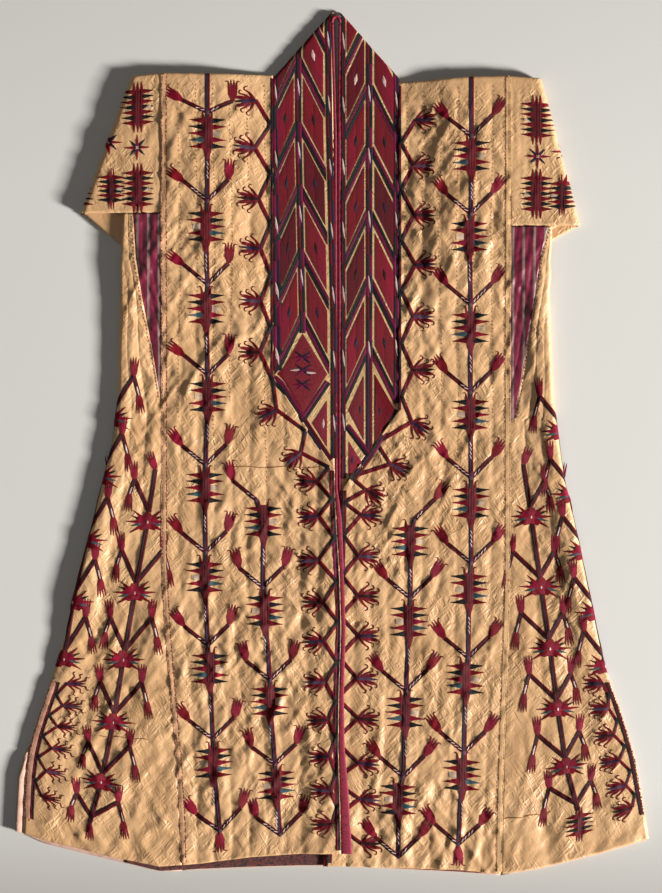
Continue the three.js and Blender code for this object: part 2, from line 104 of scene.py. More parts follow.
# %% Sizes
CLOTH = 2.0  # quilted silk with its lining
GAP = 2.4  # air between two layers
SLEEVE_CLOTH = 1.8
COLLAR_CLOTH = 2.4
BRAID = 3.2  # how thick the braid is
SEAM_GAP = 0.3
BODY_HALF = 242  # half of the back's loom width
COLLAR_WIDTH = 88
SHOULDER = 512  # y of the shoulder fold
HEM = -589
VENT_TOP = -328
SLEEVE_RISE = 8  # how far a turned-back sleeve lifts what lies over it
SLEEVE_ZONE = (170, 250)  # y where that begins, and where it is full
SIDE_RISE = 5  # how much fuller the sides are than the middle
LAP_RISE = 3.5  # how far the left front is lifted where it laps over the right one
LAP_TOP = -60  # y where that begins
PEAK_X, PEAK_Y = 10, 600  # the collar's peak: half its width, and its height
SLEEVE_LENGTH = 192
SLEEVE_TURN = 8  # how much of a sleeve its slanting fold takes up
BACK_LIFT = 0.5  # the underside's cloth lies this far over the floor, its stitches between
LOWEST = 0.25  # nothing comes nearer the floor than this
SHOULDER_RADIUS = 3.6  # of the fronts' turn over the shoulder
COLLAR_RADIUS = (CLOTH + GAP + COLLAR_CLOTH) / 2  # of the collar's slanting fold
SLEEVE_RADIUS = (CLOTH + GAP + SLEEVE_CLOTH) / 2  # of the sleeves' turn over the shoulder
FRONT_WIDTH = BODY_HALF - 5
FINE = 2.6  # between the rows of a cloth that shows

# %% Tables with named columns
class Table:
    """Rows of numbers with named columns. table(name, key) reads a column, straight between rows."""

    def __init__(self, columns, rows):
        rows = sorted(rows)
        self.columns = dict(zip(columns.split(), np.array(rows, float).T))
        self.key = next(iter(self.columns.values()))

    def __call__(self, name, place):
        return np.interp(place, self.key, self.columns[name])


class Half:
    """One half of the garment: sign is -1 on the left, +1 on the right."""

    def __init__(self, name, sign, **sizes):
        self.name, self.sign = name, sign
        self.__dict__.update(sizes)

# %% The two halves
LEFT = Half(
    "left", -1, underarm=323, wedge_tip=64, hem_seam=215, sewn_tip=95, free_tip=-34,
    shoulder_fold=279, elbow=347, elbow_y=328, back_shorter=0,
    outline=Table("y wedge fold back", [
        (323, 283, 297, 297), (260, 279, 300, 300), (204, 270, 302, 302), (141, 258, 304, 304),
        (64, 245, 305, 305), (8, 242, 311, 311), (-48, 242, 325, 325), (-104, 242, 339, 339),
        (-160, 242, 354, 354), (-216, 240, 368, 368), (-272, 237, 380, 380), (-328, 234, 397, 397),
        (-372, 231, 410, 408), (-416, 228, 422, 420), (-460, 225, 430, 434), (-504, 221, 434, 444),
        (-589, 215, 437, 448),
    ]),
    hem=Table("x front back", [
        (-445, 49, 49), (-407, 37, 31), (-316, 14, 9), (-246, 0, -8), (-190, 4, -5),
        (-120, 13, -2), (-50, 18, 0),
    ]),
)
RIGHT = Half(
    "right", 1, underarm=305, wedge_tip=38, hem_seam=230, sewn_tip=49, free_tip=-62,
    shoulder_fold=279, elbow=332, elbow_y=312, back_shorter=14,
    outline=Table("y wedge fold back", [
        (305, 296, 302, 302), (260, 285, 299, 299), (204, 277, 298, 298), (141, 267, 301, 301),
        (64, 254, 304, 304), (38, 250, 307, 307), (-48, 242, 319, 319), (-104, 242, 332, 332),
        (-160, 242, 344, 344), (-216, 241, 356, 356), (-272, 240, 367, 367), (-328, 238, 381, 381),
        (-372, 236, 396, 394), (-416, 235, 408, 406), (-460, 234, 418, 416), (-589, 230, 437, 434),
    ]),
    hem=Table("x front back", [
        (0, 0, 0), (83, -2, -4), (174, -5, -9), (230, -11, -13), (286, -2, -4), (370, 19, 17),
        (437, 39, 37),
    ]),
)
HALVES = (LEFT, RIGHT)
SHOULDER_LINE = Table("x rise", [
    (-290, -1), (-242, 4), (-88, 2), (0, -3.5), (88, -9), (190, -1), (242, 0), (290, -4),
])
# Where each front's cloth stops along the opening, and where its braid stops.
OPENING = Table("y left left_braid right_braid right", [
    (600, -7.5, -3.5, 3.5, 7.5), (470, -4, 0, 2.6, 7.5), (430, -3.5, 1.4, 2.2, 7.5),
    (-60, -2, 2, 2.8, 8), (-104, 0, 8, 2.5, 7.5), (-188, 5, 11.5, 0, 5), (-260, 7, 13.5, -3, 2),
    (-350, 4, 11, -7, -2), (-430, 3, 12, -11, -6), (-500, 5, 17.5, -14, -9),
    (-589, 7, 22.5, -18, -13),
])
print("loom width", 2 * BODY_HALF, "mm; shoulder to hem", SHOULDER - HEM, "mm")

# %% [markdown]
# ## The lie of the cloth
#
# Wadded silk that was quilted and stored never lies flat. The relief of its face is one height map:
# the main folds, given one by one, then the quilted channels and small puckers that run slantwise off
# the quilting lines. A cloth simulation makes folds too, but not these ones in these places. Every
# cloth and every stitch reads the same map, so silk and thread rise and fall together.

# %% Folds and creases
FOLDS = Table("x y long wide tilt height", [
    (-134, 46, 190, 26, 4, -1.5), (-168, 60, 210, 24, 2, 1.2), (-118, 270, 240, 18, 0, -1.2),
    (122, 250, 260, 18, 0, -1.3), (226, 262, 230, 22, -5, -1.6), (204, 290, 220, 24, -4, 1.3),
    (160, 330, 160, 26, 24, 1.1), (-262, -10, 170, 22, 16, 1.2), (-284, -90, 260, 26, -12, 1.3),
    (272, -60, 200, 24, -22, 1.2), (300, -180, 220, 26, 14, -1.3), (292, -540, 130, 22, 4, -1.6),
    (330, -520, 120, 24, 8, 1.3), (-300, -480, 180, 26, -10, 1.1),
])
# Smaller creases: middle, length, width, turn from upright in degrees, height.
CREASES = [
    (-222, 440, 60, 9, 40, 0.9), (-205, 420, 70, 8, -35, 0.8), (-150, 452, 80, 10, 52, 1.0),
    (-140, 400, 90, 10, 28, -0.9), (-232, 360, 90, 9, 20, 0.9), (-150, 345, 110, 12, 12, 1.1),
    (-135, 300, 60, 8, -25, 0.8), (-225, 285, 90, 10, 35, -0.8), (-212, 240, 80, 8, 20, 0.8),
    (-120, 215, 120, 10, 5, 1.0), (-158, 200, 70, 8, -28, 0.8), (-228, 150, 110, 9, 12, 1.0),
    (-122, 120, 120, 9, -6, -1.0), (-200, 92, 90, 10, 30, 0.8), (-108, 30, 110, 10, 8, 1.0),
    (-150, -20, 160, 10, 5, 1.1), (-222, -40, 130, 9, -8, 0.9), (-60, -80, 150, 9, 4, 1.0),
    (-128, -130, 170, 10, -4, -1.0), (-205, -170, 150, 9, 10, 1.0), (-40, -200, 160, 10, -3, 1.0),
    (-150, -260, 180, 9, 5, 1.1), (-75, -330, 170, 9, -6, -1.0), (-215, -330, 140, 10, 5, 1.0),
    (-120, -420, 190, 9, 3, 1.1), (-35, -450, 170, 9, -4, 0.9), (-190, -480, 150, 10, 6, -1.0),
    (-85, -540, 110, 9, 6, 1.0), (-150, -555, 80, 8, -8, 0.9),
    (120, 452, 70, 10, -30, 1.0), (205, 440, 100, 12, 22, 1.2), (232, 398, 120, 12, -30, 1.3),
    (150, 395, 90, 10, 35, -1.0), (178, 350, 120, 14, 38, 1.4), (222, 330, 110, 12, 25, -1.2),
    (112, 330, 100, 9, -6, 1.0), (150, 280, 90, 10, -35, 0.9), (232, 230, 90, 10, 32, 1.0),
    (190, 205, 110, 11, 28, 1.1), (112, 180, 130, 9, 4, -0.9), (146, 150, 90, 9, 25, 0.9),
    (225, 120, 110, 9, -10, 0.9), (178, 70, 90, 10, 20, 0.9), (118, 40, 120, 9, -4, 1.0),
    (60, -60, 110, 10, -12, 0.9), (150, -60, 140, 10, 6, -1.0), (222, -100, 130, 9, -6, 1.0),
    (90, -150, 160, 9, 4, 1.1), (170, -210, 160, 10, -6, 1.0), (40, -260, 150, 9, 5, 1.0),
    (215, -290, 150, 9, 4, 1.0), (110, -330, 170, 9, -4, -1.0), (60, -420, 160, 9, 4, 1.0),
    (160, -430, 170, 10, -4, 1.1), (220, -500, 120, 9, 5, -0.9), (95, -530, 120, 9, 6, 1.0),
    (-270, 220, 120, 10, 8, 0.8), (-262, 70, 130, 12, 14, 1.2), (-290, 20, 120, 11, 22, -1.1),
    (-300, -150, 150, 12, 10, 1.2), (-262, -230, 150, 12, -8, 1.0), (-340, -230, 130, 12, 16, 1.0),
    (-300, -330, 150, 12, 8, -1.0), (-370, -370, 130, 12, 12, 1.1), (-250, -420, 140, 11, -4, 1.0),
    (-330, -460, 120, 11, 10, 1.0), (-395, -480, 100, 10, 14, -0.9), (-280, -540, 90, 10, -6, 1.0),
    (275, 120, 120, 10, -6, 0.8), (268, 20, 130, 12, -16, 1.1), (300, -40, 120, 12, -20, -1.0),
    (280, -180, 150, 12, -10, 1.2), (330, -190, 140, 12, -14, 1.0), (265, -300, 140, 11, 5, 1.0),
    (330, -330, 150, 12, -12, -1.1), (375, -400, 120, 11, -12, 1.0), (270, -440, 130, 11, 5, 1.0),
    (345, -470, 130, 12, -8, 1.1), (395, -510, 90, 10, -12, 0.9), (250, -560, 70, 9, 4, 0.9),
]
CHANNEL = 24  # between two quilting lines
CELL = 1.5  # the height map has a value every 1.5 mm
MAP_LOW = np.array([-470.0, -640.0])
MAP_SIZE = (640, 850)
print(len(CREASES), "creases and", len(FOLDS.key), "folds placed by hand")

# %% Lines of the pattern
def smooth(value, low, high):
    """0 below low, 1 above high, 3s^2 - 2s^3 between."""
    s = np.clip((value - low) / (high - low), 0, 1)
    return s * s * (3 - 2 * s)


def fold_at(half, y):
    """How far from the centre line the side fold is."""
    return half.outline("fold", y)


def seam_at(half, y):
    """How far the seam between front and gore is: straight, then drawn in to the hem."""
    return BODY_HALF + (half.hem_seam - BODY_HALF) * smooth(-np.asarray(y, float), 130, -HEM)


def wedge_at(half, y):
    """How far the wedge's outer edge is; below its tip, the seam."""
    return np.where(np.asarray(y) < half.wedge_tip, seam_at(half, y), half.outline("wedge", y))

# %% Ridges and puckers
def add_ridges(relief, ridges):
    """Adds h * exp(-a^2) * (1 - l^2)^2 to the map for each ridge: a across it, l along it."""
    for x, y, long, wide, tilt, height in ridges:
        reach = 0.5 * long + wide
        low = np.maximum(((x - reach, y - reach) - MAP_LOW) // CELL, 0).astype(int)
        high = np.minimum(((x + reach, y + reach) - MAP_LOW) // CELL + 2, MAP_SIZE).astype(int)
        gx = MAP_LOW[0] + CELL * np.arange(low[0], high[0])[:, None] - x
        gy = MAP_LOW[1] + CELL * np.arange(low[1], high[1])[None, :] - y
        turn = np.radians(tilt)
        along = (gy * np.cos(turn) + gx * np.sin(turn)) / (long / 2)
        across = (gx * np.cos(turn) - gy * np.sin(turn)) / (wide / 2)
        fade = np.clip(1 - along**2, 0, None) ** 2
        relief[low[0] : high[0], low[1] : high[1]] += height * np.exp(-(across**2)) * fade


def puckers(count, seed):
    """Small creases, most of them slantwise: short, 5 to 9 mm wide, up to 0.8 mm high or deep."""
    rng = np.random.default_rng(seed)
    x = rng.uniform(-450, 450, count)
    y = rng.uniform(-610, 520, count)
    tilt = rng.choice([-1, 1], count) * rng.normal(34, 16, count)
    upright = rng.random(count) < 0.35
    tilt[upright] *= 0.25
    size = rng.uniform(0.6, 1.0, count)
    height = rng.choice([-1, 1], count, p=[0.4, 0.6]) * rng.uniform(0.25, 0.75, count)
    height *= 1 + 0.25 * smooth(-y, -100, 500)
    return np.stack([x, y, 48 * size, 8.5 * size, tilt, height], 1)

# %% Crushed silk and quilting
def lattice_noise(gx, gy, cell, turn, seed):
    """Smooth noise from -1 to 1 on a lattice of cells (across, along), turned by some degrees."""
    rng = np.random.default_rng(seed)
    values = rng.uniform(-1, 1, (256, 256))
    angle = np.radians(turn)
    u = (gx * np.cos(angle) - gy * np.sin(angle)) / cell[0] + 100
    v = (gx * np.sin(angle) + gy * np.cos(angle)) / cell[1] + 100
    i, j = np.floor(u).astype(int), np.floor(v).astype(int)
    fu, fv = smooth(u - i, 0, 1), smooth(v - j, 0, 1)
    low = values[i % 256, j % 256] * (1 - fu) + values[(i + 1) % 256, j % 256] * fu
    high = values[i % 256, (j + 1) % 256] * (1 - fu) + values[(i + 1) % 256, (j + 1) % 256] * fu
    return low * (1 - fv) + high * fv


def crinkles(gx, gy):
    """Crushed silk: layers of sharp ridges (1 - |n|)^3 where noise crosses zero, turned both ways."""
    total = 0
    for cell, turn, height, seed in (
        ((30, 74), 24, 2.2, 3), ((26, 60), -38, 1.9, 4), ((16, 40), 34, 1.2, 5),
        ((14, 36), -34, 1.1, 6), ((9, 24), 28, 0.7, 7), ((8, 20), -40, 0.6, 8),
    ):
        total = total + height * (1 - np.abs(lattice_noise(gx, gy, cell, turn, seed))) ** 3
    patchy = 0.75 + 0.45 * lattice_noise(gx, gy, (120, 160), 15, 9)
    return (total - 1.7) * patchy


def quilting(half, x, y):
    """Rounded channels between quilting lines, with a sharp trough at each line."""
    reach = np.abs(x)
    seam = seam_at(half, y)
    side = wedge_at(half, y)
    wander = 2.2 * np.sin(y / 61 + x / 90) + 1.3 * np.sin(y / 23 + x / 40)
    front_phase = (seam - reach + wander) / CHANNEL
    side_phase = 3 * (reach - side + wander) / np.maximum(fold_at(half, y) - side, 30)
    phase = np.where(reach < seam, front_phase, side_phase)
    near = np.abs(phase - np.round(phase)) * CHANNEL
    return 0.6 * np.abs(np.sin(np.pi * phase)) ** 1.3 - 0.5 * np.exp(-((near / 1.6) ** 2))

# %% The height map
def make_relief():
    """The height map: ridges of every size, crushed silk and the quilted ribs."""
    relief = np.zeros(MAP_SIZE)
    main = np.stack([FOLDS.columns[c] for c in ("x", "y", "long", "wide", "tilt", "height")], 1)
    add_ridges(relief, main)
    add_ridges(relief, CREASES)
    add_ridges(relief, puckers(2600, 5))
    gx = MAP_LOW[0] + CELL * np.arange(MAP_SIZE[0])[:, None]
    gy = MAP_LOW[1] + CELL * np.arange(MAP_SIZE[1])[None, :]
    relief += crinkles(gx, gy)
    for half in HALVES:
        mine = half.sign * gx >= 0
        ribs = quilting(half, gx + 0 * gy, gy + 0 * gx)
        relief += np.where(mine, ribs, 0)
    return relief


RELIEF = make_relief()


def relief_at(x, y):
    """The height map between its cells, straight both ways."""
    u = np.clip((x - MAP_LOW[0]) / CELL, 0, MAP_SIZE[0] - 1.001)
    v = np.clip((y - MAP_LOW[1]) / CELL, 0, MAP_SIZE[1] - 1.001)
    i, j = u.astype(int), v.astype(int)
    fu, fv = u - i, v - j
    low = RELIEF[i, j] * (1 - fu) + RELIEF[i + 1, j] * fu
    high = RELIEF[i, j + 1] * (1 - fu) + RELIEF[i + 1, j + 1] * fu
    return low * (1 - fv) + high * fv

# %% The level of each layer
def back_under(x, y):
    """How high the back lies: on the floor, and over the turned-back sleeves."""
    return SLEEVE_RISE * smooth(np.abs(x), 90, 170) * smooth(y, *SLEEVE_ZONE)


def lap(half, x, y):
    """How far the left front is raised where it lies over the right one."""
    if half is RIGHT:
        return 0 * x
    under = OPENING("right_braid", y)
    return LAP_RISE * smooth(x - under, -46, -3) * smooth(-y, -LAP_TOP - 60, -LAP_TOP)


def front_level(half, x, y):
    """The inner face of the front, without its creases."""
    to_fold = np.abs(x) / fold_at(half, y)
    at_side = smooth(to_fold, 0.85, 0.97) * smooth(y, VENT_TOP, VENT_TOP + 120)
    sides = SIDE_RISE * at_side * (1 - smooth(y, *SLEEVE_ZONE))
    return back_under(x, y) + CLOTH + GAP + sides + lap(half, x, y)


def settle(half, x, y, layer):
    """y with the slope of the shoulder and the curve of the hem in it."""
    hem = half.hem(layer, x) * smooth(-y, 280, -HEM)
    return y + hem + SHOULDER_LINE("rise", x) * smooth(y, 330, SHOULDER)


print("relief from", round(RELIEF.min(), 1), "to", round(RELIEF.max(), 1), "mm")

# %% [markdown]
# ## From the pattern to the laid garment
#
# `lay` takes points of the pattern, in which each half lies open and flat, to where they are on the
# laid garment. Past the side fold and past the shoulder the cloth goes round half a turn and comes
# back underneath. `rise` is the distance out from the face of the cloth. Motifs could be drawn on
# the finished shape instead, but then each one at a fold would have to be cut in two; on the open
# pattern they run round it, as real stitches do.

# %% Round the side fold and the shoulder
def roll(distance, foot, radius):
    """Half a turn of a strip past `foot`: how far out it is, and the angle it has turned by."""
    past = np.clip(distance - foot, 0, None)
    turn = np.clip(past / radius, 0, np.pi)
    under = np.clip(past - np.pi * radius, 0, None)
    out = np.where(past > 0, foot + radius * np.sin(turn) - under, distance)
    return out, turn


def lay(half, s, t, rise=0.0, flat_side=False):
    """Points of the fronts, wedges and gores. s is across the pattern and t up it."""
    s, t, rise = (np.asarray(v, float) for v in np.broadcast_arrays(s, t, rise))
    y = np.minimum(t, SHOULDER)
    edge = half.sign * fold_at(half, y)
    low = back_under(edge, y)
    side_radius = (front_level(half, edge, y) + CLOTH - low) / 2
    reach = half.sign * s
    foot = np.abs(edge) - side_radius
    if flat_side:
        foot = np.full_like(s, 1e4)
    out, turn = roll(reach, foot, side_radius)
    out = np.where(reach > 0, out, reach)
    x = half.sign * out
    held = 1 - 0.6 * smooth(np.abs(x) / np.abs(edge), 0.93, 1.0)
    bumps = relief_at(half.sign * np.minimum(reach, np.abs(edge)), y) * held
    bumps = bumps * (1 - 0.8 * smooth(y, SHOULDER - 40, SHOULDER)) + rise
    level = np.where(turn > 0, low + 2 * side_radius, front_level(half, x, y) + CLOTH)
    axis = level - np.where(turn > 0, side_radius, 0)
    z = np.where(turn > 0, axis + (side_radius + np.abs(bumps)) * np.cos(turn), level + bumps)
    x = x + np.where(turn > 0, half.sign * bumps * np.sin(turn), 0)
    z = np.maximum(z, back_under(x, y) + BACK_LIFT)
    up = settle(half, x, y, "front")
    # Over the shoulder.
    base = back_under(x, y)
    radius = (z - base) / 2
    over = np.clip((t - SHOULDER) / SHOULDER_RADIUS, 0, np.pi)
    z = np.where(over > 0, base + radius + radius * np.cos(over), z)
    up = up + np.where(over > 0, radius * np.sin(over), 0)
    return np.stack([x, up, z], -1)


print("a point 20 mm past the left side fold:", lay(LEFT, -322, 100).round(1))

# %% Round a slanting fold
def bend(points, corner, direction, length, axis):
    """Turns what lies beyond a line behind it: half a turn about the height `axis`.

    corner is a point of the line; direction points away from what stays, square to the line.
    """
    beyond = (points[..., 0] - corner[0]) * direction[0] + (points[..., 1] - corner[1]) * direction[1]
    turn = np.pi * np.clip(beyond / length, 0, 1)
    height = points[..., 2] - axis
    move = height * np.sin(turn) - beyond - np.clip(beyond - length, 0, None)
    move = np.where(beyond > 0, move, 0)
    x = points[..., 0] + move * direction[0]
    y = points[..., 1] + move * direction[1]
    return np.stack([x, y, np.where(beyond > 0, axis + height * np.cos(turn), points[..., 2])], -1)


def lay_collar(half, s, t, rise=0.0):
    """Points of the collar: the band runs straight up and is bent back at its slanting fold."""
    s, t = np.broadcast_arrays(np.asarray(s, float), np.asarray(t, float))
    inside = np.abs(s) / COLLAR_WIDTH
    swell = 0.5 * np.sin(t / 37 + s / 30) + 0.35 * np.sin(t / 17 - s / 21)
    top = front_level(half, s, np.minimum(t, PEAK_Y)) + COLLAR_CLOTH + swell * inside * (1 - inside) * 3
    points = np.stack([s, settle(half, s, t, "front"), top + rise], -1)
    along = np.array([COLLAR_WIDTH - PEAK_X, PEAK_Y - SHOULDER], float)
    along /= np.hypot(*along)
    direction = (half.sign * along[1], along[0])
    radius = COLLAR_RADIUS
    corner = (half.sign * COLLAR_WIDTH - direction[0] * radius, SHOULDER - direction[1] * radius)
    points = bend(points, corner, direction, np.pi * radius, radius + 0.15)
    points[..., 2] = np.maximum(points[..., 2], LOWEST)
    return points


print("the collar's peak:", lay_collar(LEFT, -PEAK_X, PEAK_Y).round(1))

# %% The sleeve, turned back
def lay_sleeve(half, s, t, rise=0.0):
    """Points of a sleeve: t runs up its front and, past the shoulder, down its back."""
    s, t, rise = (np.asarray(v, float) for v in np.broadcast_arrays(s, t, rise))
    low = SLEEVE_RISE
    high = low + CLOTH + GAP + SLEEVE_CLOTH
    radius = (high - low) / 2
    turn = np.clip((t - SHOULDER) / radius, 0, np.pi)
    under = np.clip(t - SHOULDER - np.pi * radius, 0, None)
    y = np.minimum(t, SHOULDER) - under
    ripple = 0.55 * (relief_at(s, y) - 0.6) * (1 - smooth(y, SHOULDER - 30, SHOULDER))
    ripple = np.where(t > SHOULDER, 0, ripple)
    face = radius + rise + ripple
    z = (high + low) / 2 + face * np.cos(turn)
    x = np.abs(s)
    up = settle(half, half.sign * np.minimum(x, half.elbow), y, "front") + face * np.sin(turn)
    slant = np.arctan2(half.elbow - half.shoulder_fold, SHOULDER - half.elbow_y)
    points = np.stack([x, up, z], -1)
    corner, direction = (half.shoulder_fold, SHOULDER), (np.cos(slant), np.sin(slant))
    points = bend(points, corner, direction, SLEEVE_TURN, high / 2)
    points[..., 0] *= half.sign
    points[..., 2] = np.maximum(points[..., 2], LOWEST + 0.05)
    return points


print("a point of the left sleeve, turned back:", lay_sleeve(LEFT, -430, 450).round(1))

# %% [markdown]
# ## Meshes from grids
#
# A cloth is a grid of points. Cells can be left out, and a rim goes down all its free edges. A
# Solidify modifier could thicken a sheet as well; here the inner face is built at once, so it gets
# the lining's material and can be kept from sinking into the floor.

# %% A mesh from arrays
def new_object(name, points, faces, materials, uv=None, colors=None, face_material=None):
    """A smooth mesh in metres: points (n, 3), faces (m, 4), uv and colors for each point."""
    used = np.unique(faces)
    number = np.full(len(points), -1)
    number[used] = np.arange(len(used))
    faces = number[faces]
    mesh = bpy.data.meshes.new(name)
    mesh.vertices.add(len(used))
    mesh.vertices.foreach_set("co", (points[used] * MM).ravel())
    mesh.loops.add(faces.size)
    mesh.loops.foreach_set("vertex_index", faces.ravel())
    mesh.polygons.add(len(faces))
    mesh.polygons.foreach_set("loop_start", np.arange(0, faces.size, 4))
    for material in materials:
        mesh.materials.append(material)
    if face_material is not None:
        mesh.polygons.foreach_set("material_index", face_material.astype(np.int32))
    mesh.update(calc_edges=True)
    mesh.polygons.foreach_set("use_smooth", np.ones(len(faces), bool))
    if uv is not None:
        layer = mesh.uv_layers.new(name="UVMap")
        layer.data.foreach_set("uv", (uv[used][faces.ravel()]).ravel())
    if colors is not None:
        layer = mesh.attributes.new("floss", "FLOAT_COLOR", "POINT")
        layer.data.foreach_set("color", colors[used].ravel())
    mesh.validate()
    item = bpy.data.objects.new(name, mesh)
    bpy.context.scene.collection.objects.link(item)
    return item

# %% A cloth with a rim
def grid_normals(points):
    """Unit normals of a grid of points (rows, columns, 3)."""
    normal = np.cross(np.gradient(points, axis=1), np.gradient(points, axis=0))
    return normal / np.maximum(np.linalg.norm(normal, axis=-1, keepdims=True), 1e-9)


UP, DOWN = (0, 0, 1), (0, 0, -1)


def cloth(name, points, uv, material, lining=None, mask=None, thick=CLOTH, outward=UP):
    """A cloth from a grid of its outer points, with a rim and, where lining is given, an inner face.

    The outer face looks to the side of outward, and the inner face is p - thick n.
    """
    rows, cols = points.shape[:2]
    number = np.arange(rows * cols).reshape(rows, cols)
    quads = np.stack([number[:-1, :-1], number[:-1, 1:], number[1:, 1:], number[1:, :-1]], -1)
    quads = quads.reshape(-1, 4) if mask is None else quads[mask]
    normal = grid_normals(points)
    if np.sum(normal[rows // 4, cols // 8] * outward) < 0:
        normal = -normal
        quads = quads[:, ::-1]
    inner = points - thick * normal
    inner[..., 2] = np.maximum(inner[..., 2], LOWEST)
    edges = np.concatenate([quads[:, [0, 1]], quads[:, [1, 2]], quads[:, [2, 3]], quads[:, [3, 0]]])
    key = np.sort(edges, 1)
    _, first, count = np.unique(key, axis=0, return_index=True, return_counts=True)
    free = edges[first[count == 1]]
    total = rows * cols
    rim = np.stack([free[:, 1], free[:, 0], free[:, 0] + total, free[:, 1] + total], -1)
    faces = [quads, rim]
    kinds = [np.zeros(len(quads)), np.zeros(len(rim))]
    if lining is not None:
        faces.append(quads[:, ::-1] + total)
        kinds.append(np.ones(len(quads)))
    every = np.concatenate([points.reshape(-1, 3), inner.reshape(-1, 3)])
    uvs = np.concatenate([uv.reshape(-1, 2)] * 2)
    materials = [material] + ([lining] if lining is not None else [])
    return new_object(
        name, every, np.concatenate(faces), materials, uv=uvs, face_material=np.concatenate(kinds),
    )


def mix(a, b, part):
    """a + (b - a) part."""
    return a + (b - a) * part


def by_side(measure, x, *rest):
    """measure(half, x, ...) with the half that each x lies on."""
    return np.where(x < 0, measure(LEFT, x, *rest), measure(RIGHT, x, *rest))


# %% [markdown]
# ## Materials
#
# The cloak is yellow silk, crushed and slubbed, with dyed silk floss on it, a striped silk, a
# crimson braid, a pink lining and a printed cotton. Painted pictures could give these looks, but
# nodes stay sharp close up and need no unwrapping. What is too fine for the mesh is a bump, and an
# effect that several cloths share is a node group, made once.

# %% Helpers for node trees
def node_material(name, base, roughness, sheen=0.0):
    """A cloth material and the nodes it is built from."""
    material = bpy.data.materials.new(name)
    material.use_nodes = True
    tree = material.node_tree
    shader = tree.nodes["Principled BSDF"]
    shader.inputs["Base Color"].default_value = (*base, 1)
    shader.inputs["Roughness"].default_value = roughness
    shader.inputs["Sheen Weight"].default_value = sheen
    shader.inputs["Sheen Roughness"].default_value = 0.4
    return material, tree, shader


def add(tree, kind, values=None, **settings):
    """A new node with its settings and unlinked input values."""
    node = tree.nodes.new(kind)
    for key, value in settings.items():
        setattr(node, key, value)
    for key, value in (values or {}).items():
        node.inputs[key].default_value = value
    return node


def blend_colors(tree, factor, a, b):
    """A colour mix of a and b, each a socket or a colour, by factor, a socket or a number."""
    node = add(tree, "ShaderNodeMix", data_type="RGBA")
    for index, value in ((0, factor), (6, a), (7, b)):
        if isinstance(value, bpy.types.NodeSocket):
            tree.links.new(value, node.inputs[index])
        else:
            node.inputs[index].default_value = value if index == 0 else (*value, 1)
    return node.outputs[2]


def ramp(tree, source, low, high, to_low=0.0, to_high=1.0):
    """source stretched from low..high to to_low..to_high, kept inside."""
    node = add(tree, "ShaderNodeMapRange", {1: low, 2: high, 3: to_low, 4: to_high})
    tree.links.new(source, node.inputs[0])
    return node.outputs[0]


def noise(tree, vector, scale, detail=2.0, stretch=(1, 1, 1)):
    """Noise in object space, in cells for each metre, stretched along the axes."""
    mapping = add(tree, "ShaderNodeMapping")
    mapping.inputs["Scale"].default_value = [scale * v for v in stretch]
    tree.links.new(vector, mapping.inputs["Vector"])
    node = add(tree, "ShaderNodeTexNoise", {"Scale": 1.0, "Detail": detail})
    tree.links.new(mapping.outputs[0], node.inputs["Vector"])
    return node.outputs["Fac"]


def wave(tree, vector, scale, direction="X", distortion=0.0):
    """Even bands across a direction."""
    node = add(
        tree, "ShaderNodeTexWave", {"Scale": scale, "Distortion": distortion, "Detail": 1.0},
        bands_direction=direction,
    )
    tree.links.new(vector, node.inputs["Vector"])
    return node.outputs["Fac"]


def bump(tree, shader, height, distance, strength=1.0, under=None):
    """A bump from a height, over another one where `under` is given. Gives its normal."""
    node = add(tree, "ShaderNodeBump", {"Strength": strength, "Distance": distance})
    tree.links.new(height, node.inputs["Height"])
    if under is not None:
        tree.links.new(under, node.inputs["Normal"])
    tree.links.new(node.outputs[0], shader.inputs["Normal"])
    return node.outputs[0]

# %% [markdown]
# ## Effects that cloths share
#
# Crushed silk has sharp little creases that lean both ways. Noise alone gives soft lumps, so the
# creases are taken from where a stretched noise crosses its middle value, and a wide noise lets
# them come and go.

# %% Shared effects
def new_group(name, outputs):
    """An empty node group that takes a place and a fineness, with value outputs, and its two ends.

    The place that its effects read is the given one times the fineness.
    """
    group = bpy.data.node_groups.new(name, "ShaderNodeTree")
    group.interface.new_socket("Place", in_out="INPUT", socket_type="NodeSocketVector")
    fineness = group.interface.new_socket("Fineness", in_out="INPUT", socket_type="NodeSocketFloat")
    fineness.default_value = 1.0
    for output in outputs:
        group.interface.new_socket(output, in_out="OUTPUT", socket_type="NodeSocketFloat")
    start, end = add(group, "NodeGroupInput"), add(group, "NodeGroupOutput")
    scaled = add(group, "ShaderNodeVectorMath", operation="SCALE")
    group.links.new(start.outputs["Place"], scaled.inputs[0])
    group.links.new(start.outputs["Fineness"], scaled.inputs["Scale"])
    return group, scaled.outputs[0], end


def two_values(tree, operation, a, b):
    """Two sockets, or a socket and a number, joined by the named operation."""
    node = add(tree, "ShaderNodeMath", operation=operation)
    for index, value in enumerate((a, b)):
        if isinstance(value, bpy.types.NodeSocket):
            tree.links.new(value, node.inputs[index])
        else:
            node.inputs[index].default_value = value
    return node.outputs[0]


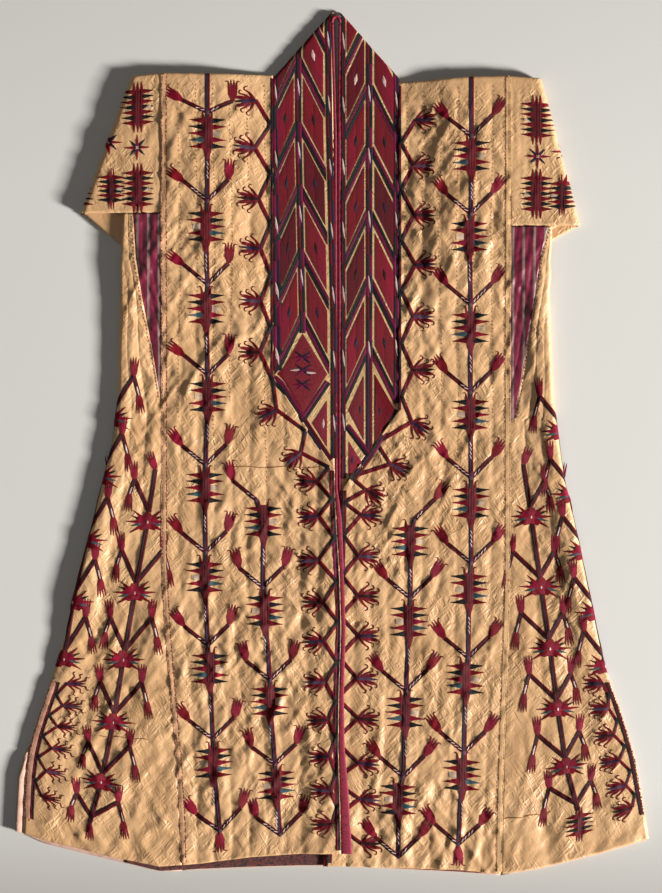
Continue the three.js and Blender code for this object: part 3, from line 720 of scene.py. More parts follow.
def crushed_silk_group():
    """Slubs, soiling, sharp creases that lean both ways in patches, and a fine grain."""
    group, place, end = new_group("crushed_silk", ("Slub", "Soil", "Creases", "Grain"))
    heights = []
    for turn, scale in ((0.75, 52), (-0.6, 60)):
        leaning = add(group, "ShaderNodeMapping")
        leaning.inputs["Rotation"].default_value = (0, 0, turn)
        group.links.new(place, leaning.inputs["Vector"])
        ridges = noise(group, leaning.outputs[0], scale, 2, (2.0, 0.42, 1))
        sharp = two_values(group, "ABSOLUTE", two_values(group, "SUBTRACT", ridges, 0.5), 0.0)
        heights.append(ramp(group, sharp, 0, 0.13, 1, 0))
    patches = ramp(group, noise(group, place, 17, 2), 0.38, 0.6, 0.25, 1)
    creases = two_values(group, "MULTIPLY", two_values(group, "MAXIMUM", *heights), patches)
    for output, value in (
        ("Slub", noise(group, place, 260, 2, (0.12, 1, 1))), ("Soil", noise(group, place, 9, 4)),
        ("Creases", creases), ("Grain", noise(group, place, 240, 3)),
    ):
        group.links.new(value, end.inputs[output])
    return group


def wear_group():
    """Specks where a cloth is worn or dyed unevenly, and the grain of its threads."""
    group, place, end = new_group("cloth_wear", ("Specks", "Grain"))
    group.links.new(noise(group, place, 350, 3), end.inputs["Specks"])
    group.links.new(noise(group, place, 900, 2), end.inputs["Grain"])
    return group


CRUSHED_SILK = crushed_silk_group()
CLOTH_WEAR = wear_group()


def effect(tree, group, fineness=1.0):
    """A shared effect placed in a material, reading object coordinates. Gives its outputs."""
    node = add(tree, "ShaderNodeGroup", node_tree=group)
    node.inputs["Fineness"].default_value = fineness
    tree.links.new(add(tree, "ShaderNodeTexCoord").outputs["Object"], node.inputs["Place"])
    return node.outputs

# %% Yellow silk
def silk(name, base, dark, fineness=1.0):
    """Glossy hand-woven silk: slubs, fine ribs, a little soiling and small slanting crinkles."""
    material, tree, shader = node_material(name, base, 0.4, sheen=0.12)
    crushed = effect(tree, CRUSHED_SILK, fineness)
    color = blend_colors(tree, ramp(tree, crushed["Soil"], 0.35, 0.75), base, dark)
    color = blend_colors(tree, ramp(tree, crushed["Slub"], 0.45, 0.8, 0, 0.35), color, dark)
    tree.links.new(color, shader.inputs["Base Color"])
    tree.links.new(ramp(tree, crushed["Slub"], 0.3, 0.7, 0.3, 0.42), shader.inputs["Roughness"])
    first = bump(tree, shader, crushed["Creases"], 0.0011, 0.6)
    second = bump(tree, shader, crushed["Grain"], 0.0006, 0.45, first)
    place = add(tree, "ShaderNodeTexCoord").outputs["Object"]
    bump(tree, shader, wave(tree, place, 900, "Y", 0.6), 0.00008, 0.5, second)
    return material


GOLD = (0.64, 0.38, 0.188)
GOLD_DARK = (0.51, 0.285, 0.13)
yellow_silk = silk("yellow_silk", GOLD, GOLD_DARK)
cream_ground = silk("cream_ground", (0.66, 0.42, 0.2), (0.5, 0.3, 0.14), 1.15)
print("two silks, gold and cream")

# %% [markdown]
# ## Floss, stripes and plain cloths
#
# Floss has a soft shine along its threads. One material serves all its colours, because each stitch
# carries its own in an attribute. The stripes of the wedges are waves along the cloth's own grid.

# %% Silk floss and striped silk
def floss_material():
    """Silk floss: the colour of each stitch, with fine threads along it."""
    material, tree, shader = node_material("silk_floss", (0.3, 0.03, 0.04), 0.6)
    shader.inputs["Specular IOR Level"].default_value = 0.12
    color = add(tree, "ShaderNodeAttribute", attribute_name="floss").outputs["Color"]
    uv = add(tree, "ShaderNodeTexCoord").outputs["UV"]
    threads = wave(tree, uv, 0.42, "Y", 1.4)
    streaks = noise(tree, uv, 1.0, 2, (0.05, 0.9, 1))
    worn = effect(tree, CLOTH_WEAR, 1.2)["Specks"]
    shade = blend_colors(tree, ramp(tree, threads, 0, 1, 0.0, 0.3), color, (0.01, 0.003, 0.005))
    shade = blend_colors(tree, ramp(tree, streaks, 0.4, 0.7, 0, 0.6), shade, (0.03, 0.004, 0.008))
    shade = blend_colors(tree, ramp(tree, worn, 0.6, 0.85, 0, 0.05), shade, (0.35, 0.12, 0.09))
    tree.links.new(shade, shader.inputs["Base Color"])
    first = bump(tree, shader, threads, 0.0003, 0.6)
    bump(tree, shader, worn, 0.0002, 0.4, first)
    return material


def striped_material():
    """Crimson striped silk: thin grey and pink lines along the wedge."""
    material, tree, shader = node_material("striped_silk", (0.17, 0.014, 0.05), 0.4, sheen=0.2)
    uv = add(tree, "ShaderNodeTexCoord").outputs["UV"]
    place = add(tree, "ShaderNodeTexCoord").outputs["Object"]
    lines = wave(tree, uv, 0.021, "X", 0.6)
    thin = wave(tree, uv, 0.085, "X", 0.8)
    worn = effect(tree, CLOTH_WEAR)["Specks"]
    crimson, grey = (0.165, 0.006, 0.03), (0.25, 0.17, 0.145)
    color = blend_colors(tree, ramp(tree, lines, 0.8, 0.92, 0, 0.85), crimson, grey)
    color = blend_colors(tree, ramp(tree, thin, 0.85, 1.0, 0, 0.5), color, (0.03, 0.012, 0.02))
    color = blend_colors(tree, ramp(tree, worn, 0.5, 0.75, 0, 0.4), color, (0.09, 0.008, 0.02))
    tree.links.new(color, shader.inputs["Base Color"])
    bump(tree, shader, noise(tree, place, 150, 3), 0.001, 0.5)
    return material


silk_floss = floss_material()
striped_silk = striped_material()
print("floss and stripes")

# %% Plain cloths, and all the materials
def plain_cloth(name, base, dark, fineness=1.0, roughness=0.8):
    """A matte cloth with specks of a darker colour."""
    material, tree, shader = node_material(name, base, roughness)
    wear = effect(tree, CLOTH_WEAR, fineness)
    color = blend_colors(tree, ramp(tree, wear["Specks"], 0.45, 0.6), base, dark)
    tree.links.new(color, shader.inputs["Base Color"])
    bump(tree, shader, wear["Grain"], 0.0003, 0.5)
    return material


crimson_braid = plain_cloth("crimson_braid", (0.27, 0.006, 0.032), (0.13, 0.004, 0.018), 1.4, 0.75)
pink_lining = plain_cloth("pink_lining", (0.6, 0.37, 0.29), (0.5, 0.29, 0.21), 0.3)
printed_cotton = plain_cloth("printed_cotton", (0.12, 0.025, 0.02), (0.02, 0.012, 0.012), 0.75)
print(len(bpy.data.materials), "materials")

# %% [markdown] ## The pieces of cloth  Each cut piece is a mesh of its own, tied to its node of
# the model. Nothing on a laid cloak turns or slides, so all of them are on one body.

# %% Ties to the model
BODY = "root"


def finish_piece(item, slot, *nodes, flat=None, area=None, resting=()):
    """Ties a piece to the model: its body, the nodes it stands for, and its cut in metres. The slot is not
    used.
    """
    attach(item, BODY)
    if nodes:
        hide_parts(*nodes)
    if flat is not None:
        print(item.name, "cut", round(flat[0], 3), "x", round(flat[1], 3), "m")


def rows_between(high, low, spacing):
    """Heights from high down to low, about a spacing apart."""
    return np.linspace(high, low, int(round((high - low) / spacing)) + 1)

# %% [markdown]
# ### The fronts
#
# A front hangs from the shoulder and is cut away where the collar is sewn on. Its grid follows the
# cut: the columns end at the collar's seam above, and run on to the opening below. One grid with
# cells left out keeps the weave in line across both parts.

# %% The fronts
def make_front(half):
    """A front, cut away beside the collar. Rows run down, columns from the side seam to the opening."""
    above = rows_between(SHOULDER, half.sewn_tip, FINE)
    below = rows_between(half.sewn_tip, HEM, FINE)
    over = SHOULDER + SHOULDER_RADIUS * np.pi * np.linspace(1, 0, 7)[:-1]
    y = np.concatenate([over, above, below[1:]])
    cut = len(over) + len(above) - 1
    side_cols = int((BODY_HALF - COLLAR_WIDTH) / FINE)
    mid_cols = int(COLLAR_WIDTH / FINE)
    free = mix(half.free_tip, HEM, (half.sewn_tip - y) / (half.sewn_tip - HEM))
    flat_y = np.minimum(y, SHOULDER)
    outer = np.linspace(0, 1, side_cols + 1)[None, :]
    collar_seam = half.sign * (COLLAR_WIDTH + SEAM_GAP / 2)
    seam = half.sign * (seam_at(half, flat_y) - SEAM_GAP / 2)
    x_side = mix(seam[:, None], collar_seam, outer)
    inner = np.linspace(0, 1, mid_cols + 1)[None, 1:]
    x_mid = mix(collar_seam, OPENING(half.name, free)[:, None], inner)
    x = np.concatenate([x_side, x_mid], 1)
    t = np.concatenate([y[:, None] + 0 * x_side, mix(y[:, None], free[:, None], inner)], 1)
    t[:cut, side_cols + 1 :] = y[:cut, None]
    mask = np.ones((len(y) - 1, x.shape[1] - 1), bool)
    mask[:cut, side_cols:] = False
    points = lay(half, x, t, flat_side=True)
    item = cloth(f"front_{half.name}_cloth", points, np.stack([x, t], -1), yellow_silk, mask=mask)
    width, length = FRONT_WIDTH, SHOULDER - HEM
    cut_away = COLLAR_WIDTH * (SHOULDER - (half.sewn_tip + half.free_tip) / 2)
    finish_piece(
        item, "yellow_silk", f"front_{half.name}", flat=(width * MM, length * MM),
        area=(width * length - cut_away) * MM**2, resting=["back"],
    )
    return item


def curl(half, x, y):
    """How far the back flap's edge curls up beyond the front flap, along the vent."""
    return 5.3 * smooth(np.abs(x) - fold_at(half, y), -1.5, 4.2) * smooth(VENT_TOP - y, 10, 90)

# %% [markdown]
# ### The side panels
#
# A gore runs from the front's seam round the side to the back's seam, and is open as a vent at the
# bottom. It is one grid that goes round the fold; below the vent's top the cells of the turn are
# left out, and the back flap's edge curls up, so that its pink lining shows.

# %% The side panels
GORE_SHARE = 0.52  # how much of its rectangle the tapering gore takes up
GORE_ROWS = 3.0  # between its rows


def make_gore(half):
    """A side panel: front flap, round the side fold, back flap, parted at the vent."""
    y = rows_between(half.underarm, HEM, GORE_ROWS)
    vent = int(np.argmin(np.abs(y - VENT_TOP)))
    y[vent] = VENT_TOP
    front_cols, turn_cols, back_cols = 50, 7, 24
    seam = wedge_at(half, y) + SEAM_GAP / 2
    edge = fold_at(half, y)
    radius = (front_level(half, half.sign * edge, y) + CLOTH - back_under(edge, y)) / 2
    is_open = y < VENT_TOP
    foot = np.where(is_open, edge, edge - radius)
    part = np.linspace(0, 1, front_cols + 1)[None, :]
    s_front = mix(seam[:, None], foot[:, None], part)
    part = np.linspace(0, 1, turn_cols + 1)[None, 1:-1]
    s_turn = foot[:, None] + np.pi * radius[:, None] * part
    front = lay(half, half.sign * s_front, y[:, None])
    flap = lay(half, half.sign * s_front, y[:, None], flat_side=True)
    front[is_open] = flap[is_open]
    turned = lay(half, half.sign * s_turn, y[:, None])
    back_edge = np.where(is_open, half.outline("back", y), foot)
    part = np.linspace(0, 1, back_cols + 1)[None, :] ** 1.8  # closer columns toward the curled edge
    x_back = half.sign * mix(back_edge[:, None], seam[:, None], part)
    z_back = back_under(x_back, y[:, None]) + BACK_LIFT + curl(half, x_back, y[:, None])
    back = np.stack([x_back, settle(half, x_back, y[:, None] + 0 * x_back, "back"), z_back], -1)
    points = np.concatenate([front, turned, back], 1)
    s_back = foot[:, None] + np.pi * radius[:, None] + (back_edge[:, None] - np.abs(x_back))
    s = np.concatenate([s_front, s_turn, s_back], 1)
    uv = np.stack([s, y[:, None] + 0 * s], -1)
    mask = np.ones((len(y) - 1, points.shape[1] - 1), bool)
    mask[vent:, front_cols : front_cols + turn_cols] = False
    item = cloth(
        f"side_gore_{half.name}_cloth", points, uv, yellow_silk, lining=pink_lining, mask=mask,
    )
    width = 2 * (fold_at(half, HEM) - half.hem_seam)
    length = half.underarm - HEM
    finish_piece(
        item, "yellow_silk", f"side_gore_{half.name}", flat=(width * MM, length * MM),
        area=GORE_SHARE * width * length * MM**2, resting=["back"],
    )
    return item

# %% [markdown]
# ### The wedges and the back
#
# The striped wedges give room under the arm. The back carries everything and is hardly seen, so its
# grid is coarse.

# %% The wedges
WEDGE_SHARE = 0.56  # how much of its rectangle a wedge takes up


def make_wedge(half, layer):
    """A wedge of the front or the back, from the underarm down to its tip."""
    y = rows_between(half.underarm, half.wedge_tip - 8, FINE)
    inner = seam_at(half, y) + SEAM_GAP / 2
    outer = np.maximum(wedge_at(half, np.maximum(y, half.wedge_tip)) - SEAM_GAP / 2, inner + 1)
    x = half.sign * mix(inner[:, None], outer[:, None], np.linspace(0, 1, 21)[None, :])
    uv = np.stack([np.abs(x), y[:, None] + 0 * x], -1)
    if layer == "front":
        points, outward = lay(half, x, y[:, None], flat_side=True), UP
    else:
        z = back_under(x, y[:, None]) + BACK_LIFT
        points, outward = np.stack([x, settle(half, x, y[:, None] + 0 * x, "back"), z], -1), DOWN
    item = cloth(f"wedge_{layer}_{half.name}_cloth", points, uv, striped_silk, outward=outward)
    width = wedge_at(half, half.underarm) - BODY_HALF
    length = half.underarm - half.wedge_tip
    finish_piece(
        item, "striped_silk", f"wedge_{layer}_{half.name}", flat=(width * MM, length * MM),
        area=WEDGE_SHARE * width * length * MM**2, resting=["back"],
    )
    return item

# %% The back
def make_back():
    """The back, lying on the floor: it is hidden, so its rows are wide apart."""
    y = rows_between(SHOULDER - 0.6, HEM, 8)
    u = np.linspace(-1, 1, 61)[None, :]
    half_width = np.where(u < 0, seam_at(LEFT, y)[:, None], seam_at(RIGHT, y)[:, None])
    x = u * (half_width - SEAM_GAP / 2)
    t = y[:, None] + 0 * x
    points = np.stack([x, by_side(settle, x, t, "back"), back_under(x, t) + BACK_LIFT], -1)
    item = cloth(
        "back_cloth", points, np.stack([x, t], -1), yellow_silk, lining=pink_lining, thick=1.7,
        outward=DOWN,
    )
    finish_piece(item, "yellow_silk", "back", flat=(2 * BODY_HALF * MM, (SHOULDER - HEM) * MM))
    return item

# %% [markdown]
# ### The sleeves
#
# They are short, open below the arm, and here turned back behind the shoulder. The grid goes up the
# front of the sleeve, over the shoulder and down its back, and `lay_sleeve` bends all of it round
# the slanting fold; closer columns at the fold keep it round.

# %% The sleeves
def make_sleeve(half):
    """A sleeve pressed flat and turned back: rows go up its front and down its back."""
    spacing = 3.4
    bottom = half.underarm + 0.6
    turn = np.pi * SLEEVE_RADIUS
    up = rows_between(SHOULDER, bottom, spacing)[::-1]
    over = SHOULDER + turn * np.linspace(0, 1, 7)[1:-1]
    down = SHOULDER + turn + rows_between(SHOULDER - bottom - half.back_shorter, 0, spacing)[::-1]
    t = np.concatenate([up, over, down])
    y = np.where(t > SHOULDER, SHOULDER - np.clip(t - SHOULDER - turn, 0, None), t)
    slant = np.arctan2(half.elbow - half.shoulder_fold, SHOULDER - half.elbow_y)
    fold = half.shoulder_fold + (SHOULDER - y) * np.tan(slant)
    armhole = BODY_HALF + SEAM_GAP / 2
    turned = fold + SLEEVE_TURN / np.cos(slant)
    x = np.concatenate([
        mix(armhole, fold[:, None], np.linspace(0, 1, 24)[None, :]),
        mix(fold[:, None], turned[:, None], np.linspace(0, 1, 8)[None, 1:]),
        mix(turned[:, None], armhole + SLEEVE_LENGTH, np.linspace(0, 1, 40)[None, 1:]),
    ], 1)
    points = lay_sleeve(half, half.sign * x, t[:, None])
    item = cloth(
        f"sleeve_{half.name}_cloth", points, np.stack([x, t[:, None] + 0 * x], -1), yellow_silk,
        lining=yellow_silk, thick=1.5,
    )
    length = 2 * (SHOULDER - bottom) - half.back_shorter + turn
    finish_piece(
        item, "yellow_silk", f"sleeve_{half.name}", flat=(SLEEVE_LENGTH * MM, length * MM),
        resting=["back"],
    )
    return item

# %% [markdown]
# ### The collar
#
# One broad band goes round the neck and down both sides of the opening. Laid flat it has to fold at
# 45 degrees, which is what makes the peak. Each half is a slanting grid, with closer rows where it
# turns.

# %% The collar
COLLAR_GRID = (150, 27)  # rows and columns of the part that shows
SLANTING = 1.35  # half a turn of the slanting fold takes up this much more of the band


def make_collar():
    """The collar's ground: two straight bands, bent back over the neck's slanting folds."""
    rows, cols = COLLAR_GRID
    turn = np.pi * COLLAR_RADIUS * SLANTING
    down, part = np.linspace(1, 0, rows)[:, None], np.linspace(0, 1, cols)[None, :]
    over, behind = np.linspace(1, 0, 9)[:-1, None], np.linspace(1, 0, 12)[:-1, None]
    items = []
    for half in HALVES:
        sewn_y = mix(half.sewn_tip + 0.6, SHOULDER, down)
        free_y = mix(half.free_tip + 0.6, PEAK_Y, down)
        t = mix(sewn_y, free_y, part)
        x = mix(half.sign * (COLLAR_WIDTH - SEAM_GAP / 2), OPENING(half.name, free_y), part)
        folded = t[:1] + over * np.pi * COLLAR_RADIUS * SLANTING
        hidden = mix(t[:1] + turn, np.maximum(PEAK_Y - 8, t[:1] + turn), behind)
        s = np.concatenate([np.repeat(x[:1], len(hidden) + len(folded), axis=0), x])
        y = np.concatenate([hidden, folded, t])
        item = cloth(
            f"collar_{half.name}_cloth", lay_collar(half, s, y), np.stack([s, y], -1), cream_ground,
            lining=pink_lining, thick=2.0,
        )
        length = PEAK_Y - (half.sewn_tip + half.free_tip) / 2
        finish_piece(
            item, "embroidery", "collar", flat=(COLLAR_WIDTH * MM, length * MM), resting=["back"],
        )
        items.append(item)
    return items

# %% The hem facing
FACING_ENDS = (-296, 204)
FACING_HEIGHT = 41
FACING_LEVEL = 3.2  # over the back's cloth and lining


def make_facing():
    """A strip along the back hem, its rows running down and its columns from left to right."""
    x = np.linspace(*FACING_ENDS, 126)[None, :]
    above_hem = mix(1, 1 + FACING_HEIGHT, np.linspace(1, 0, 12)[:, None])
    y = by_side(settle, x, HEM + 0 * x, "back") + above_hem
    points = np.stack([x + 0 * y, y, FACING_LEVEL + 0 * y + 0.15 * np.sin(x / 9)], -1)
    item = cloth("hem_facing_cloth", points, np.stack([x + 0 * y, y], -1), printed_cotton, thick=0.8)
    finish_piece(item, "printed_cotton", "hem_facing", flat=(0.5, 0.041), resting=["back"])
    return item

# %% [markdown]
# ### The braid
#
# A crimson braid is folded round the opening's edge. A curve with a bevel would give a tube; a grid
# with a soft arch across lies on the cloth as a sewn braid does. Only the turn over the peak is a
# tube.

# %% The braid
def make_edging(half):
    """The braid: a soft roll along the free edge of collar and front."""
    y = rows_between(PEAK_Y - 8, HEM, FINE)
    inner = OPENING(half.name, y) - half.sign * SEAM_GAP
    outer = OPENING(f"{half.name}_braid", y)
    turn = np.linspace(0, np.pi, 9)[None, :]
    part = (1 - np.cos(turn)) / 2
    x = mix(inner[:, None], outer[:, None], part)
    twist = 0.18 * np.sin(y / 2.1)[:, None] + 0.3 * np.sin(y / 29)[:, None]
    y = y[:, None] + 0 * x
    z = front_level(half, x, y) + (BRAID - 0.4) * (0.3 + 0.7 * np.sin(turn) ** 0.4) + twist
    points = np.stack([x, settle(half, x, y, "front"), z], -1)
    item = cloth(
        f"edging_{half.name}_braid", points, np.stack([x, y], -1), crimson_braid, thick=1.2,
    )
    finish_piece(item, "crimson_braid", f"edging_{half.name}")
    return item


def make_loop():
    """The braid's turn over the collar's peak: half a ring, its tube carried round an upright oval."""
    tube_radius, wide, tall, sides = 2.2, 5.6, 8.5, 12
    around = np.linspace(0, np.pi, 25)[:, None]
    turn = np.arange(sides)[None, :] * 2 * np.pi / sides
    thick = tube_radius + 0.15 * np.sin(around * 20)
    out = np.cos(turn) * thick
    x = (wide + out) * np.cos(around)
    y = PEAK_Y - 10 + (tall + out) * np.sin(around)
    z = float(front_level(LEFT, 0.0, 500.0)) + BRAID - 1.4 + np.sin(turn) * thick + 0 * around
    number = np.arange(x.size).reshape(x.shape)
    beside = np.roll(number, -1, axis=1)
    tube = np.stack([number[:-1], number[1:], beside[1:], beside[:-1]], -1).reshape(-1, 4)
    k = np.arange(sides // 2 - 1)
    cap = np.stack([k, k + 1, sides - 2 - k, sides - 1 - k], -1)
    faces = np.concatenate([tube, cap, cap[:, ::-1] + number[-1, 0]])
    item = new_object("edging_loop", np.stack([x, y, z], -1).reshape(-1, 3), faces, [crimson_braid])
    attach(item, BODY)
    return item

# %% All the cloth
made = [make_back(), make_facing(), *make_collar(), make_loop()]
for half in HALVES:
    made += [make_front(half), make_gore(half), make_sleeve(half), make_edging(half)]
    made += [make_wedge(half, "front"), make_wedge(half, "back")]
print(len(made), "pieces of cloth,", sum(len(m.data.polygons) for m in made), "faces")

# %% [markdown]
# ## Stitches
#
# All embroidery is made of two shapes. A blade is a curved strip that narrows as it goes: a petal,
# a tooth, a stem, a single stitch. A patch is a four-sided field. Both are a little crowned, as
# floss is, and both are drawn on the pattern and laid on the garment with the same function as the
# cloth below. Single threads as curves would be far more geometry; a strip with fine lines in its
# material looks the same from where a person stands.

# %% The colours of the floss
def srgb(red, green, blue):
    """A colour of 0 to 255 values as linear light."""
    value = np.array([red, green, blue]) / 255
    return np.where(value <= 0.04045, value / 12.92, ((value + 0.055) / 1.055) ** 2.4)


FLOSS = {
    "crimson": srgb(142, 11, 42),
    "brick": srgb(126, 10, 26),
    "wine": srgb(96, 5, 20),
    "magenta": srgb(118, 18, 62),
    "green": srgb(15, 31, 30),
    "teal": srgb(62, 96, 104),
    "navy": srgb(42, 32, 56),
    "slate": srgb(86, 66, 88),
    "white": srgb(232, 204, 194),
    "thread": srgb(158, 76, 68),
    "quilting": srgb(172, 122, 74),
    "cord": srgb(44, 20, 20),
    "blush": srgb(208, 154, 126),
    "faded": srgb(232, 178, 132),
    "russet": srgb(112, 18, 28),
    "pale": srgb(226, 194, 168),
    "straw": srgb(228, 182, 128),
    "dusty": srgb(180, 118, 90),
}
COLOR_NAMES = list(FLOSS)

# %% Blades and patches
# Steps along a blade or patch, by its length: a row of points about every 2.5 mm.
SIZES = [(0, 6, 3), (6, 16, 5), (16, 36, 11), (36, 64, 19), (64, 400, 36)]
THIN = 2.3  # millimetres; a thinner blade has one crest instead of a rounded crown
SMALLEST_FACE = 0.004  # square millimetres, doubled; anything less is pressed flat in a fold


class Stitches:
    """Blades and patches on one pattern, made into one mesh."""

    def __init__(self, place, coarse=1):
        self.place = place
        self.coarse = coarse
        self.blades = []
        self.patches = []

    def blade(self, start, end, widths, color, bow=0.0, lift=0.0):
        """widths at start, middle and end; bow: the middle's way to the left; lift: extra height."""
        self.blades.append((*start, *end, *widths, bow, lift, COLOR_NAMES.index(color)))

    def patch(self, corners, color, lift=0.0):
        """Four corners in turn; the threads run along the side from the first to the second."""
        corners = np.array(corners, float)
        a, b, c, d = corners
        if (b - a)[0] * (d - a)[1] < (b - a)[1] * (d - a)[0]:
            corners = corners[[3, 2, 1, 0]]
        self.patches.append((*np.ravel(corners), lift, COLOR_NAMES.index(color)))

    def ray(self, root, angle, length, widths, color, bow=0.0, lift=0.0):
        """A blade from root at an angle in degrees from upright, clockwise. Gives its tip."""
        turn = np.radians(angle)
        end = (root[0] + length * np.sin(turn), root[1] + length * np.cos(turn))
        self.blade(root, end, widths, color, bow, lift)
        return end

    def blade_points(self, data, steps, columns):
        """Centre C(p) = (1-p) A + p B + 4 p (1-p) bow N, half width w(p) to each side of it."""
        start, end = data[:, None, 0:2], data[:, None, 2:4]
        part = np.linspace(0, 1, steps + 1)[None, :, None]
        way = end - start
        length = np.linalg.norm(way, axis=-1, keepdims=True)
        normal = np.stack([-way[..., 1], way[..., 0]], -1) / np.maximum(length, 1e-6)
        bow = data[:, None, 7:8]
        centre = start + way * part + 4 * part * (1 - part) * bow * normal
        tangent = way + 4 * (1 - 2 * part) * bow * normal
        side = np.stack([-tangent[..., 1], tangent[..., 0]], -1)
        side /= np.maximum(np.linalg.norm(side, axis=-1, keepdims=True), 1e-6)
        first = data[:, None, 4:5] + (data[:, None, 5:6] - data[:, None, 4:5]) * 2 * part
        second = data[:, None, 5:6] + (data[:, None, 6:7] - data[:, None, 5:6]) * (2 * part - 1)
        width = np.where(part < 0.5, first, second)
        across = np.linspace(0.5, -0.5, columns)
        flat = centre[:, :, None] + side[:, :, None] * (width * across)[..., None]
        crown = 0.42 + 0.4 * np.clip(width / 4, 0.3, 1) * (1 - (2 * across) ** 2) + data[:, None, 8:9]
        uv = np.stack([length * part + 0 * width * across, width * across], -1)
        return flat, crown, uv

    def patch_points(self, data, steps):
        """P(u, v) = ((1-u) A + u B)(1-v) + ((1-u) D + u C) v, crowned inside its edge."""
        a, b, c, d = (data[:, None, None, 2 * k : 2 * k + 2] for k in range(4))
        cells = max(4, steps // 2)
        u = np.linspace(0, 1, steps + 1)[None, :, None, None]
        v = np.linspace(0, 1, cells + 1)[None, None, :, None]
        flat = (a * (1 - u) + b * u) * (1 - v) + (d * (1 - u) + c * u) * v
        edge = np.minimum(np.minimum(u, 1 - u) * steps, np.minimum(v, 1 - v) * cells)[..., 0]
        crown = 0.42 + 0.4 * np.clip(edge / 2, 0, 1) ** 0.6 + data[:, 8][:, None, None]
        long = np.linalg.norm(b - a, axis=-1)
        wide = np.linalg.norm(d - a, axis=-1)
        uv = np.stack([long * u[..., 0] + 0 * v[..., 0], wide * v[..., 0] + 0 * u[..., 0]], -1)
        return flat, crown, uv

    def build(self, name):
        """One mesh of all the stitches, laid on the garment, each with a tone of its own."""
        rng = np.random.default_rng(len(name))
        palette = np.array(list(FLOSS.values()))
        blades, patches = np.array(self.blades).reshape(-1, 10), np.array(self.patches).reshape(-1, 10)
        groups = []
        thin = blades[:, 4:7].max(axis=1, initial=0) < THIN
        for low, high, steps in SIZES:
            steps = max(2, steps // self.coarse)
            length = np.linalg.norm(blades[:, 2:4] - blades[:, 0:2], axis=1)
            fitting = (length >= low) & (length < high)
            for columns, chosen in ((3, blades[fitting & thin]), (5, blades[fitting & ~thin])):
                if len(chosen):
                    shapes = self.blade_points(chosen, steps, columns)
                    groups.append((*shapes, chosen[:, 9].astype(int)))
            length = np.linalg.norm(patches[:, 2:4] - patches[:, 0:2], axis=1)
            chosen = patches[(length >= low) & (length < high)]
            if len(chosen):
                groups.append((*self.patch_points(chosen, steps), chosen[:, 9].astype(int)))
        points, faces, uvs, colors, total = [], [], [], [], 0
        for flat, crown, uv, kind in groups:
            count, rows, cols = flat.shape[:3]
            placed = self.place(flat[..., 0], flat[..., 1], crown)
            points.append(placed.reshape(-1, 3))
            number = total + np.arange(count * rows * cols).reshape(count, rows, cols)
            corners = [number[:, :-1, :-1], number[:, :-1, 1:], number[:, 1:, 1:], number[:, 1:, :-1]]
            falling = placed[:, 1:, 1:] - placed[:, :-1, :-1]
            rising = placed[:, 1:, :-1] - placed[:, :-1, 1:]
            kept = np.linalg.norm(np.cross(falling, rising), axis=-1) > SMALLEST_FACE
            faces.append(np.stack(corners, -1)[kept])
            uvs.append(uv.reshape(-1, 2))
            tone = rng.uniform(0.84, 1.14, (count, 1))
            color = np.concatenate([palette[kind] * tone, np.ones((count, 1))], 1)
            colors.append(np.repeat(color, rows * cols, axis=0))
            total += count * rows * cols
        item = new_object(
            name, np.concatenate(points), np.concatenate(faces), [silk_floss],
            uv=np.concatenate(uvs), colors=np.concatenate(colors),
        )
        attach(item, BODY)
        print(name, len(blades), "blades,", len(patches), "patches,", len(item.data.polygons), "faces")
        return item


def tally(name, draw, *at):
    """Draws a motif once on a spare pattern and prints what it takes."""
    spare = Stitches(None)
    draw(spare, *at)
    print(name, "takes", len(spare.blades), "blades and", len(spare.patches), "patches")


# %% [markdown]
# ## Motifs
#
# Each motif is drawn round its own place on the pattern: toothed bodies on a stem, tulips, hooked
# flowers on a zigzag, round medallions and small stars. They are the traditional ones of such
# cloaks. Each is a few rules with angles and lengths, so every copy is drawn by a function and not
# by hand.

# %% Strands and stems
def towards(angle):
    """The way of an angle in degrees from upright, clockwise, and the way to its right."""
    turn = np.radians(angle)
    ahead = np.array([np.sin(turn), np.cos(turn)])
    return ahead, np.array([ahead[1], -ahead[0]])


def between(start, end):
    """Two places as arrays, the unit way from one to the other, and the way to its left."""
    start, end = np.array(start, float), np.array(end, float)
    way = (end - start) / max(np.hypot(*(end - start)), 1e-6)
    return start, end, way, np.array([-way[1], way[0]])


def strand_pair(work, start, end, width, colors):
    """Two strands side by side, each a little wider than half of the width."""
    start, end, _, left = between(start, end)
    aside = left * width / 4
    for side, color in zip((1, -1), colors):
        work.blade(start + aside * side, end + aside * side, (0.56 * width,) * 3, color)


def neighbours(x, y):
    """The stretches of a line given by the x and y of its places, each as (start, end)."""
    places = list(zip(x, y))
    return list(zip(places[:-1], places[1:]))


def dashes(work, start, end, count=4):
    """Slanting white stitches along a stretch of stem."""
    start, end, way, aside = between(start, end)
    for k in range(count):
        middle = start + (end - start) * (k + 0.5) / count
        a, b = middle - 2.8 * way - 1.1 * aside, middle + 2.8 * way + 1.1 * aside
        work.blade(a, b, (0.8, 1.5, 0.8), "white", lift=0.3)


def stem(work, start, end, width, colors, white=0):
    """A stretch of stem in two colours, with white stitches near its start."""
    start, end = np.array(start, float), np.array(end, float)
    strand_pair(work, start, end, width, colors)
    if white:
        length = np.hypot(*(end - start))
        from_part, to_part = 5 / length, min(0.95, (5 + 6.2 * white) / length)
        dashes(work, start + (end - start) * from_part, start + (end - start) * to_part, white)


tally("a stem", stem, (0, 0), (0, 60), 6, ("wine", "navy"), 4)

# %% [markdown]
# ### Toothed bodies
#
# A russet field with pointed teeth in turning colours and two curled horns. The teeth are blades
# that start under the field's edge, so no gap shows between them.

# %% Toothed bodies
TEETH = ["brick", "green", "crimson", "teal", "brick"]
PATCHED_TEETH = ["green", "brick", None, "crimson", "green"]


